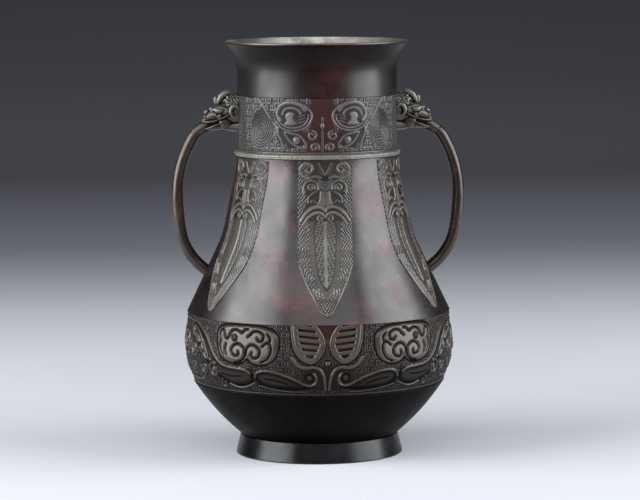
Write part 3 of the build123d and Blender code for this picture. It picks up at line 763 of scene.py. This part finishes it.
def make_collar():
    ground = NECK_RADIUS - NECK_GROUND
    band = [(ground, NECK_JOINT), (ground, COLLAR_BAND_TOP), (NECK_RADIUS, COLLAR_BAND_TOP + 0.3)]
    plain = np.linspace((NECK_RADIUS, COLLAR_BAND_TOP + 0.6), (NECK_RADIUS, FLARE_START), 10)
    outer = flare_line(0, HEIGHT - LIP_THICKNESS)
    lip = [
        (LIP_RADIUS, HEIGHT - 1.2),
        (LIP_RADIUS, HEIGHT - 0.7),
        (LIP_RADIUS - 0.3, HEIGHT - 0.2),
        (LIP_RADIUS - 0.9, HEIGHT),
    ]
    inner = flare_line(COLLAR_WALL, HEIGHT - 0.2)
    bore = np.linspace((NECK_BORE, FLARE_START), (NECK_BORE, NECK_JOINT + 3.5), 14)
    spigot = [
        (NECK_BORE, NECK_JOINT + 2.4),
        (SPIGOT_BORE, NECK_JOINT),
        (SPIGOT_BORE, SPIGOT_END),
        (SPIGOT_RADIUS, SPIGOT_END),
        (SPIGOT_RADIUS, NECK_JOINT),
    ]
    loop = np.concatenate([band, plain, outer[1:], lip, inner[::-1], bore[1:], spigot])
    collar = turned_piece("vessel_neck", loop)
    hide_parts("neck_collar")


def make_rib():
    angles = np.linspace(-math.pi / 2, math.pi / 2, 29)
    swell = RIB_SWELL - RIB_GROOVE * np.exp(-(((angles + 0.3) / 0.2) ** 2))
    middle = NECK_JOINT + RIB_HEIGHT / 2
    bead = np.stack([RIB_RADIUS + swell * np.cos(angles), middle + RIB_SWELL * np.sin(angles)], axis=1)
    seat = [(RIB_SEAT_RADIUS, middle + RIB_SWELL), (RIB_SEAT_RADIUS, middle - RIB_SWELL)]

    def lumpy(turn, level):
        lumps = np.sin(23 * turn + 0.8) * np.sin(7 * turn)
        lumps = lumps + 0.7 * np.sin(41 * turn + 2.0) * np.sin(5 * turn + 1.0)
        grains = np.sin(97 * turn + 0.5) * np.sin(13 * turn)
        grains = grains + np.sin(131 * turn + 1.1) * np.sin(17 * turn + 2.0)
        share = (level - NECK_JOINT) / RIB_HEIGHT
        return (0.16 * lumps + 0.08 * grains) * np.clip(4 * share * (1 - share), 0, 1)

    loop = np.concatenate([bead, seat])
    rib = turned_piece("vessel_rib", loop, columns=720, uneven=lumpy)
    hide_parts("neck_rib")


# Handles, on the +X side, and then mirrored


def bar_route():
    """Points along a handle bar's centre line, in (reach, height), from the jaws into the shoulder."""
    spot, dip = np.array(BAR_START), BAR_DIP
    points = [spot]
    for radius, amount in BAR_RUNS:
        steps = 8 if radius == 0 else 14
        for _ in range(steps):
            turn = 0 if radius == 0 else amount / steps
            length = amount / steps if radius == 0 else radius * math.radians(turn)
            heading = math.radians(dip + turn / 2)
            spot = spot + length * np.array([math.cos(heading), -math.sin(heading)])
            dip += turn
            points.append(spot)
    return np.array(points)


def make_bar(side, name):
    """A bar of rounded section with a soft arris along its outside, that ends inside the shoulder's wall."""
    route = bar_route()
    shoulder = shoulder_line(1.4)
    route = route[route[:, 0] > np.interp(route[:, 1], shoulder[:, 1], shoulder[:, 0]) - 0.5]
    ahead = np.gradient(route, axis=0)
    ahead /= np.linalg.norm(ahead, axis=1)[:, None]
    outward = np.stack([-ahead[:, 1], ahead[:, 0]], axis=1)
    if side > 0:
        route = route + RIGHT_BAR_BOW * np.sin(np.linspace(0, math.pi, len(route)))[:, None] ** 2 * outward
    angles = np.linspace(0, 2 * math.pi, 40, endpoint=False)
    arris = 1 + 0.05 * np.clip(np.cos(angles), 0, 1) ** 4 - 0.04 * np.cos(2 * angles)
    points = []
    for row, (spot, out) in enumerate(zip(route, outward)):
        radius = BAR_RADIUS * (1 + 0.012 * math.sin(0.9 * row) + 0.02 * math.sin(0.31 * row + 1))
        ring_out = radius * arris * np.cos(angles)
        ring_side = radius * arris * np.sin(angles)
        reach, level = spot[0] + out[0] * ring_out, spot[1] + out[1] * ring_out
        points.append(np.stack([side * reach, ring_side, level], axis=1))
    count = len(angles)
    last = (len(points) - 1) * count
    caps = [list(range(count)), list(range(last, last + count))[::-1]]
    faces = [(a, d, c, b) for a, b, c, d in ring_quads(len(points), count)] + caps
    if side < 0:
        faces = [face[::-1] for face in faces]
    bar = new_piece(name, np.concatenate(points), faces)
    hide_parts(name.replace("bar_", "") + "_handle_bar")


class Clay:
    """Closed lumps that are joined into one skin."""

    def __init__(self):
        self.points, self.faces, self.count = [], [], 0

    def add(self, points, faces):
        self.points.append(np.asarray(points, float))
        self.faces += [[index + self.count for index in face] for face in faces]
        self.count += len(points)

    def rings(self, rings):
        """A closed tube through rings of equal length."""
        count, last = len(rings[0]), (len(rings) - 1) * len(rings[0])
        caps = [list(range(count))[::-1], list(range(last, last + count))]
        self.add(np.concatenate(rings), caps + ring_quads(len(rings), count))

    def loft(self, sections):
        """A form through upright ellipses: reach, height, half height and half width of each."""
        angles = np.linspace(0, 2 * math.pi, 32, endpoint=False)
        rings = []
        for reach, level, high, wide in curve(*sections, steps=5):
            upright = level + high * np.sin(angles)
            rings.append(np.stack([reach + 0 * angles, wide * np.cos(angles), upright], axis=1))
        self.rings(rings)

    def ball(self, centre, radii):
        across = np.linspace(0, 2 * math.pi, 20, endpoint=False)
        rings = []
        for up in np.linspace(-1.5, 1.5, 13):
            level = np.sin(up) + 0 * across
            ring = np.stack([np.cos(up) * np.cos(across), np.cos(up) * np.sin(across), level], axis=1)
            rings.append(np.array(centre) + ring * np.array(radii))
        self.rings(rings)

    def rope(self, points, radii):
        """A round strand through points, whose radius follows a list."""
        path = curve(*points, steps=6)
        sizes = np.interp(np.linspace(0, 1, len(path)), np.linspace(0, 1, len(radii)), radii)
        ahead = np.gradient(path, axis=0)
        ahead /= np.linalg.norm(ahead, axis=1)[:, None] + 1e-9
        angles = np.linspace(0, 2 * math.pi, 12, endpoint=False)
        rings = []
        for spot, way, size in zip(path, ahead, sizes):
            first = np.cross(way, (0.31, 0.22, 0.93))
            first /= np.linalg.norm(first)
            second = np.cross(way, first)
            rings.append(spot + size * (np.cos(angles)[:, None] * first + np.sin(angles)[:, None] * second))
        self.rings(rings)
        self.ball(path[0], (sizes[0],) * 3)
        self.ball(path[-1], (sizes[-1],) * 3)


# Main forms of a beast head as upright sections: reach, height, half height and half width
SKULL = (
    (55, 250, 12.4, 9.4), (60, 250.2, 11.8, 10.2), (65, 249.6, 10, 10), (70, 249, 7.6, 9),
    (75, 248, 5.6, 7.6), (79, 246.9, 4.3, 6.2), (82, 245, 3.2, 4.8), (84, 243.4, 2.2, 3.2),
)
JAW = (
    (55, 240.6, 4.9, 8.8), (62, 240, 4.2, 8.6), (68, 240.2, 3.1, 7.8),
    (74, 239.4, 2.4, 7), (79, 238.6, 2, 6), (82, 237.8, 1.6, 4.8),
)
CREST = (
    (55, 256.6, 6, 6), (60, 258, 5.4, 6), (65, 258.6, 4.4, 5.4), (69, 257.8, 3.2, 4.4), (72, 256.4, 1.8, 3.4),
)

# Sleeve around the bar where it leaves the jaws, as (reach, side, height), and its radii
SLEEVE = ((74, 0, 242.4), (79.6, 0, 240.6), (84, 0, 238), (88, 0, 235.4))
SLEEVE_RADII = (5.2, 5.2, 4.8, 4.2)

# Arc of an ear, in the same terms
EAR = [
    (60.2 + 3.1 * math.cos(turn), 11.2, 250.8 + 4.1 * math.sin(turn)) for turn in np.linspace(-1.6, 2.6, 9)
]

# Features on one side of a head: a ball at one point with its three radii, or a strand through several
# points with the radii along it
HEAD_FEATURES = {
    "eyelid": ([(71.2, 7.4, 251.4)], (3.9, 2.4, 2.2)),
    "brow": (
        [(77.4, 4.6, 250.6), (74.6, 6.8, 252.4), (70.8, 7.6, 253.6), (66.6, 8.8, 252.6)],
        (0.6, 0.9, 1.1, 0.6),
    ),
    "eye": ([(71, 8.4, 247.6)], (1.5, 1.5, 1.5)),
    "fold under the eye": (
        [(74.2, 7.8, 248.6), (71.6, 8.6, 245.6), (68.4, 9.3, 246.4), (65.4, 9.9, 248)],
        (0.5, 0.7, 0.8, 0.6),
    ),
    "cheek": ([(67.0, 6.8, 242.6)], (4.9, 2.2, 4.8)),
    "nostril": ([(80.4, 1.8, 249.9)], (2.0, 1.8, 2.0)),
    "side of the nose": ([(80.8, 3.6, 246.6)], (2.2, 1.8, 1.9)),
    "bump on the nose": ([(76.8, 2.6, 252.2)], (1.8, 1.7, 1.5)),
    "upper lip": (
        [(82.6, 3.4, 243), (79.4, 5.5, 243.2), (75.4, 6.9, 243.8), (71.4, 7.8, 245)],
        (0.7, 0.8, 0.8, 0.5),
    ),
    "lower lip": (
        [(78.6, 5.6, 239), (76.4, 6.6, 239.8), (73.8, 7.4, 240.8), (71, 8.0, 241.8)],
        (0.5, 0.8, 0.8, 0.5),
    ),
    "horn": (
        [(72.2, 3.2, 257.4), (69.8, 3.8, 261.4), (66.8, 4.2, 263.6), (64.2, 4.4, 264.4)],
        (1.5, 2.1, 2.0, 1.3),
    ),
    "knob at the horn": ([(73.8, 2.8, 258.8)], (1.5, 1.6, 2.9)),
    "ear": (EAR, (0.6, 1.4, 1.5, 0.6)),
}
TUFTS = 24
HEAD_VOXEL = 0.32
HEAD_ROOT_RADIUS = NECK_RADIUS - 1.8

# A head's hollows are found by smoothing it: the smoothing step, and how much the change up to it counts. The
# head's colour follows them, and its dark hollows are partly painted shade.
HOLLOW_WEIGHTS = {11: 1.3, 44: 0.4}


def sculpt_head():
    """A beast head: skull, jaw and crest, the sleeve around the bar, and the features on both sides."""
    clay = Clay()
    for sections in (SKULL, JAW, CREST):
        clay.loft(sections)
    clay.rope(SLEEVE, SLEEVE_RADII)
    for side in (-1, 1):
        for points, radii in HEAD_FEATURES.values():
            placed = [(reach, side * out, level) for reach, out, level in points]
            if len(placed) == 1:
                clay.ball(placed[0], radii)
            else:
                clay.rope(placed, radii)
        # Tufts lie in a spiral on the side of the crest
        for tuft in range(TUFTS):
            share, spin = math.sqrt((tuft + 0.5) / TUFTS), 2.4 * tuft
            reach = 61.8 + 5 * share * math.cos(spin)
            level = 258.4 + 4.6 * share * math.sin(spin)
            out = 10.1 * math.sqrt(1 - ((level - 250) / 13.6) ** 2) - 0.5
            clay.ball((reach, side * out, level), (1.2 + 0.4 * share, 1.2, 1.2))
    return clay


def hollows(points, mesh):
    """How far each point stands out of smoothed copies of its mesh: from 0 in hollows to 1 on ridges."""
    edges = np.array([edge.vertices[:] for edge in mesh.edges])
    count = np.bincount(edges.ravel(), minlength=len(points))[:, None]
    normals = np.array([corner.vector[:] for corner in mesh.vertex_normals])
    soft, stands = points.copy(), np.full(len(points), 0.5)
    for step in range(max(HOLLOW_WEIGHTS) + 1):
        total = np.zeros_like(soft)
        np.add.at(total, edges[:, 0], soft[edges[:, 1]])
        np.add.at(total, edges[:, 1], soft[edges[:, 0]])
        soft = total / count
        if step in HOLLOW_WEIGHTS:
            stands += HOLLOW_WEIGHTS[step] * ((points - soft) * normals).sum(axis=1)
    return np.clip(stands, 0, 1)


def make_head(side, name):
    """A head's lumps under one skin, rooted in the neck's wall."""
    clay = sculpt_head()
    mesh = bpy.data.meshes.new(name)
    mesh.from_pydata(np.concatenate(clay.points) * (side * MM, MM, MM), [], clay.faces)
    lump = linked(name, mesh)
    skin = lump.modifiers.new("skin", "REMESH")
    skin.mode, skin.voxel_size = "VOXEL", HEAD_VOXEL * MM
    soften = lump.modifiers.new("soften", "SMOOTH")
    soften.factor, soften.iterations = 0.5, 3
    bpy.context.view_layer.update()
    made = bpy.data.meshes.new_from_object(lump.evaluated_get(bpy.context.evaluated_depsgraph_get()))
    bpy.data.objects.remove(lump)
    points = np.empty(len(made.vertices) * 3)
    made.vertices.foreach_get("co", points)
    points = points.reshape(-1, 3) / MM
    reach = np.hypot(points[:, 0], points[:, 1])
    points[:, :2] *= (np.maximum(reach, HEAD_ROOT_RADIUS) / reach)[:, None]
    faces = [list(face.vertices) for face in made.polygons]
    # The hollows set the head's colour: dark in them, partly patina and partly painted shade.
    head = new_piece(name, points, faces, 80, hollows(points, made))
    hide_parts(name.replace("head_", "") + "_beast_head")


# Materials


def tone(code):
    """The linear colour of a six-digit screen colour."""
    parts = [int(code[place : place + 2], 16) / 255 for place in (0, 2, 4)]
    return [part / 12.92 if part <= 0.04045 else ((part + 0.055) / 1.055) ** 2.4 for part in parts] + [1.0]


class Shader:
    """A material's nodes, added one by one. Places and levels in it are in metres."""

    def __init__(self, name):
        self.material = bpy.data.materials.new(name)
        self.material.use_nodes = True
        self.tree = self.material.node_tree
        self.surface = self.tree.nodes["Principled BSDF"]
        self.spot = self.node("ShaderNodeTexCoord").outputs["Object"]

    def node(self, kind, inputs=None, **settings):
        made = self.tree.nodes.new(kind)
        for key, value in settings.items():
            setattr(made, key, value)
        self.feed(made, inputs or {})
        return made

    def feed(self, node, inputs):
        """Set a node's inputs: to a number or colour, or to what another node gives."""
        for key, value in inputs.items():
            if isinstance(value, bpy.types.NodeSocket):
                self.tree.links.new(value, node.inputs[key])
            else:
                node.inputs[key].default_value = value

    def noise(self, scale, detail=4.0, rough=0.55, warp=0.0):
        inputs = {"Vector": self.spot, "Scale": scale, "Detail": detail}
        inputs |= {"Roughness": rough, "Distortion": warp}
        return self.node("ShaderNodeTexNoise", inputs).outputs["Fac"]

    def span(self, value, low, high, start=0.0, end=1.0):
        """A smooth change from start to end while a value goes from low to high."""
        inputs = {"Value": value, "From Min": low, "From Max": high, "To Min": start, "To Max": end}
        return self.node("ShaderNodeMapRange", inputs, interpolation_type="SMOOTHSTEP").outputs["Result"]

    def maths(self, operation, first, second=0.5):
        return self.node("ShaderNodeMath", {0: first, 1: second}, operation=operation).outputs[0]

    def times(self, first, second):
        return self.maths("MULTIPLY", first, second)

    def mix(self, share, first, second):
        inputs = {"Factor": share, "A": first, "B": second}
        return self.node("ShaderNodeMix", inputs, data_type="RGBA").outputs["Result"]

    def part(self, axis):
        """One coordinate of the shaded spot."""
        return self.node("ShaderNodeSeparateXYZ", {0: self.spot}).outputs[axis]

    def level(self):
        return self.part("Z")

    def aside(self):
        """How far the shaded spot is to either side of the vessel's middle."""
        return self.maths("ABSOLUTE", self.part("X"))

    def relief(self):
        return self.node("ShaderNodeAttribute", attribute_name="relief").outputs["Fac"]

    def bump(self, height, strength, distance):
        inputs = {"Strength": strength, "Distance": distance, "Height": height}
        return self.node("ShaderNodeBump", inputs).outputs["Normal"]

    def finish(self, colour, rough, normal, metal, shine):
        looks = {"Base Color": colour, "Roughness": rough, "Normal": normal}
        self.feed(self.surface, looks | {"Metallic": metal, "Specular IOR Level": shine})
        return self.material


def plain_bronze(name, dark, mid, red_and_glint, red_and_glint_amount, shine, rough, red_and_glint_within=None, dull=None):
    """Smooth patinated metal: a dark patina that is thin and reddish-brown in patches.

    The patches end between two distances beside the middle, and the shine goes between two levels. In the
    mouth the patch tone is a pale painted highlight, for glints of light on the inside wall.
    """
    shade = Shader(name)
    clouds = shade.span(shade.noise(16, 6, 0.62, 0.4), 0.34, 0.68)
    patches = shade.span(shade.noise(34, 8, 0.68, 0.35), 0.54 - red_and_glint_amount, 0.78 - red_and_glint_amount)
    if red_and_glint_within is not None:
        patches = shade.times(patches, shade.span(shade.aside(), *red_and_glint_within, 1.0, 0.0))
    if dull is not None:
        fade = shade.span(shade.level(), *dull, 1.0, 0.2)
        shine = shade.times(fade, shine)
        patches = shade.times(fade, patches)
    shine = shade.times(shade.span(shade.noise(30, 6, 0.65), 0.3, 0.7, 0.8, 1.15), shine)
    colour = shade.mix(clouds, tone(dark), tone(mid))
    colour = shade.mix(shade.times(patches, 0.85), colour, tone(red_and_glint))
    specks = shade.span(shade.noise(380, 3, 0.6), 0.62, 0.72)
    colour = shade.mix(shade.times(specks, 0.4), colour, tone("0c0909"))
    gloss = shade.span(shade.noise(46, 7, 0.65), 0.3, 0.7, *rough)
    grain = shade.maths("ADD", shade.noise(110, 5, 0.6), shade.times(shade.noise(800, 3, 0.6), 0.3))
    return shade.finish(colour, gloss, shade.bump(grain, 0.2, 0.0002), 0.0, shine)


def relief_bronze(
    name, ground, top, deposit, spread, shine, groove_shine, low=0.05, peak=1.0, rough=0.46, metal=0.0,
    grain=0.0002, muzzle=None, blush=None, blush_over=0.0, painted_shade_levels=None,
):
    """Cast relief: dark in its grooves, rubbed on its high lines, with deposits.

    Heights from low to peak go from the ground's colour to the top's. A muzzle takes the lower front of a
    head, a blush takes the middle over a level, and a painted shade darkens the colour and dims the shine
    from one level to another.
    """
    shade = Shader(name)
    # Colour by relief height: the grooves' dark ground is partly patina and, on the belly and the heads,
    # partly painted shade.
    high = shade.span(shade.relief(), low, peak)
    colour = shade.mix(high, tone(ground), tone(top))
    deposits = shade.span(shade.noise(44, 7, 0.7, 0.5), 0.66 - spread, 0.84 - spread)
    colour = shade.mix(shade.times(deposits, 0.5), colour, tone(deposit))
    film_and_painted_shade = shade.times(shade.span(shade.noise(60, 5, 0.6, 0.3), 0.35, 0.65), 0.3)
    gloss = shade.span(high, 0, 1, rough, 0.27)
    sheen = shade.span(high, 0, 0.5, groove_shine * shine, shine)
    if blush is not None:
        middle = shade.span(shade.aside(), 0.005, 0.024, 0.85, 0.0)
        middle = shade.times(middle, shade.span(high, 0.1, 0.9, 1.0, 0.3))
        middle = shade.times(middle, shade.span(shade.level(), blush_over, blush_over + 0.012))
        colour = shade.mix(middle, colour, tone(blush))
    if muzzle is not None:
        lower = shade.span(shade.level(), 0.2465, 0.2525, 1.0, 0.1)
        front = shade.times(shade.span(shade.aside(), 0.056, 0.066), lower)
        colour = shade.mix(front, colour, shade.mix(high, tone(ground), tone(muzzle)))
        sheen = shade.times(sheen, shade.span(front, 0, 1, 1.0, 0.5))
    # Painted shade: darker colour and dimmer shine from one level to another, added to the random film.
    if painted_shade_levels is not None:
        film_and_painted_shade = shade.maths("ADD", film_and_painted_shade, shade.span(shade.level(), *painted_shade_levels, 0.0, 0.3))
        sheen = shade.times(sheen, shade.span(shade.level(), *painted_shade_levels, 1.0, 0.7))
    colour = shade.mix(film_and_painted_shade, colour, tone("120d0c"))
    return shade.finish(colour, gloss, shade.bump(shade.noise(700, 4, 0.65), 0.3, grain), metal, sheen)


def dress(piece, *materials):
    piece.data.materials.clear()
    for material in materials:
        piece.data.materials.append(material)


# Smooth metals: dark, middle and patch tones (reddish; a pale painted highlight in the mouth), amount of
# patches, shine, and limits of the roughness. Some also have the distances beside the middle between which
# the patches end, and the levels between which the shine goes.
SMOOTH_METALS = {
    "shell": ("130c0c", "201718", "532021", 0.09, 0.64, (0.24, 0.37), (0.045, 0.085)),
    # The bowl is a darker, duller copy of the shell: painted shade under the belly.
    "bowl": ("040303", "080607", "120a0a", -0.08, 0.035, (0.34, 0.46)),
    "neck": ("0d0908", "17110f", "3a1917", 0.12, 0.54, (0.28, 0.38), (0.006, 0.030), (0.272, 0.291)),
    # The mouth's patch tone is a pale painted highlight: glints of light in the middle of the inside wall.
    "mouth": ("46443f", "8a8680", "c8c4bc", 0.14, 0.7, (0.2, 0.36), (0.016, 0.046)),
    "lip": ("3a2a20", "57402e", "6a4c34", 0.0, 0.6, (0.3, 0.4)),
    "bar": ("1c120c", "332217", "4c301e", 0.03, 0.6, (0.22, 0.34)),
    "foot": ("040405", "07080b", "0f0c0b", -0.04, 0.32, (0.22, 0.34)),
}

# Relief metals: tones of ground, top and deposits, spread of the deposits, shine, and its share in grooves
RELIEF_METALS = {
    # The carved belly's near-black ground is partly painted shade in its grooves.
    "carved": ("080605", "40382e", "4a4632", 0.06, 0.54, 0.05),
    "blade": ("1c1615", "6a655c", "5a2725", 0.135, 0.78, 0.5),
    "collar_carved": ("161312", "565250", "5c5c48", 0.1, 0.62, 0.3),
    "rib": ("78766c", "78766c", "8a8872", 0.16, 0.9, 1.0),
    # The head's near-black ground is partly painted shade in its hollows.
    "head": ("090706", "6a665b", "7c7c66", 0.1, 1.0, 0.08),
}
RELIEF_EXTRAS = {
    # Painted shade darkens the belly towards its lower edge, and the blades towards their tops.
    "carved": {"peak": 1.05, "blush": "301a15", "blush_over": 0.079, "painted_shade_levels": (0.085, 0.062)},
    "blade": {"peak": 0.75, "rough": 0.32, "painted_shade_levels": (0.15, 0.205)},
    "collar_carved": {"peak": 0.8, "blush": "3c201c"},
    "rib": {"rough": 0.4, "metal": 0.3, "grain": 0.0012},
    "head": {"low": 0.25, "peak": 0.92, "rough": 0.42, "muzzle": "4a3c30"},
}

# Metals of the pieces whose names start so
PIECE_METALS = {
    "belly_": "carved", "blade_": "blade", "neck_front": "collar_carved", "neck_back": "collar_carved",
    "vessel_rib": "rib", "head_": "head", "bar_": "bar", "foot_ring": "foot", "base_plate": "foot",
    "upper_handle_pins": "bar", "lower_handle_pins": "bar",
}


def dress_all():
    metals = {}
    for name, values in SMOOTH_METALS.items():
        metals[name] = plain_bronze(f"{name}_bronze", *values)
    for name, values in RELIEF_METALS.items():
        metals[name] = relief_bronze(f"{name}_bronze", *values, **RELIEF_EXTRAS[name])
    for piece in list(bpy.data.objects):
        for start, name in PIECE_METALS.items():
            if piece.name.startswith(start):
                dress(piece, metals[name])

    body = bpy.data.objects["vessel_body"]
    dress(body, metals["shell"], metals["bowl"])
    # Below the belly band the body takes the bowl's painted shade.
    for face in body.data.polygons:
        face.material_index = int(face.center.z < BAND_BOTTOM * MM)

    wall = bpy.data.objects["vessel_neck"]
    dress(wall, metals["neck"], metals["mouth"], metals["lip"])
    for face in wall.data.polygons:
        if face.center.x * face.normal.x + face.center.y * face.normal.y < 0:
            face.material_index = 1
        elif face.center.z > (HEIGHT - 1.3) * MM:
            face.material_index = 2


make_belly_ornament()
make_neck_ornament()
make_blades()
make_body()
make_collar()
make_rib()
for sign, word in ((1, "right"), (-1, "left")):
    make_bar(sign, f"bar_{word}")
    make_head(sign, f"head_{word}")
dress_all()


# Stage, light and camera, in metres

# Side view of the floor and the backdrop as (depth, level), and half their width
FLOOR_RUN = ((-6.0, 0.0), (2.5, 0.0), (3.0, 0.12), (3.3, 0.5), (3.4, 2.6))
FLOOR_HALF_WIDTH = 6.0

# Lamps: place, aim, power in watts, width and height, and roll in degrees
LAMPS = {
    "left_bank": ((-1.53, -0.53, 0.70), (0, 0, 0.16), 49, (1.6, 1.35), 12),
    "right_bank": ((1.54, -0.50, 0.70), (0, 0, 0.16), 39, (1.5, 1.35), -12),
    "front_bank": ((0.0, -1.55, 1.26), (0, 0, 0.15), 14, (2.0, 1.1), 0),
}
LAMP_COLOUR = (0.94, 0.97, 1.0)

# Camera: its place, the level of its aim, its roll in degrees, and the photo's measures in pixels
CAMERA_DISTANCE = 2.25
CAMERA_HEIGHT = 0.385
CAMERA_AZIMUTH = math.radians(-3.7)
CAMERA_AIM = 0.150
CAMERA_ROLL = -0.4
SENSOR_WIDTH = 36
PHOTO_WIDTH = 640
FOCAL_LENGTH = 3094
PHOTO_SHIFT = (2.0, -2.4)


def make_stage():
    mesh = bpy.data.meshes.new("floor")
    points = [(side * FLOOR_HALF_WIDTH, depth, level) for depth, level in FLOOR_RUN for side in (-1, 1)]
    faces = [(first, first + 1, first + 3, first + 2) for first in range(0, len(points) - 2, 2)]
    mesh.from_pydata(points, [], faces)
    mesh.shade_smooth()
    linked("floor", mesh)
    shade = Shader("floor_paper")
    # Painted shade: the paper darkens towards the back and up the backdrop, and the floor in front is painted
    # dark for the vessel to reflect.
    depth = shade.maths("ADD", shade.part("Y"), shade.times(shade.level(), 2.0))
    colour = shade.mix(shade.span(depth, 0.5, 1.6), tone("dcdde2"), tone("8f9098"))
    colour = shade.mix(shade.span(depth, 1.5, 4.2), colour, tone("45464b"))
    colour = shade.mix(shade.span(depth, -0.85, -0.4), tone("26272b"), colour)
    shade.finish(colour, 0.7, shade.bump(shade.noise(300), 0.02, 0.0005), 0.0, 0.2)
    mesh.materials.append(shade.material)


def point_at(thing, place, aim, roll):
    """Put a lamp or camera at a place, aimed at a point and rolled by degrees."""
    thing.location = place
    turn = (Vector(aim) - Vector(place)).to_track_quat("-Z", "Y")
    thing.rotation_euler = (turn @ Quaternion((0, 0, 1), math.radians(roll))).to_euler()


def make_lamp(name, place, aim, power, size, roll):
    light = bpy.data.lights.new(name, "AREA")
    light.energy, light.shape, light.color = power, "RECTANGLE", LAMP_COLOUR
    light.size, light.size_y = size
    point_at(linked(name, light), place, aim, roll)


def make_camera():
    camera = bpy.data.cameras.new("camera")
    camera.sensor_width = SENSOR_WIDTH
    camera.lens = FOCAL_LENGTH * SENSOR_WIDTH / PHOTO_WIDTH
    camera.shift_x, camera.shift_y = (shift / PHOTO_WIDTH for shift in PHOTO_SHIFT)
    made = linked("camera", camera)
    across, back = CAMERA_DISTANCE * math.sin(CAMERA_AZIMUTH), CAMERA_DISTANCE * math.cos(CAMERA_AZIMUTH)
    point_at(made, (across, -back, CAMERA_HEIGHT), (0, 0, CAMERA_AIM), CAMERA_ROLL)
    bpy.context.scene.camera = made


make_stage()
for name, settings in LAMPS.items():
    make_lamp(name, *settings)
world = bpy.data.worlds.new("world")
world.use_nodes = True
world.node_tree.nodes["Background"].inputs["Color"].default_value = tone("9a9aa0")
world.node_tree.nodes["Background"].inputs["Strength"].default_value = 0.25
bpy.context.scene.world = world
bpy.context.scene.view_settings.view_transform = "Standard"
make_camera()
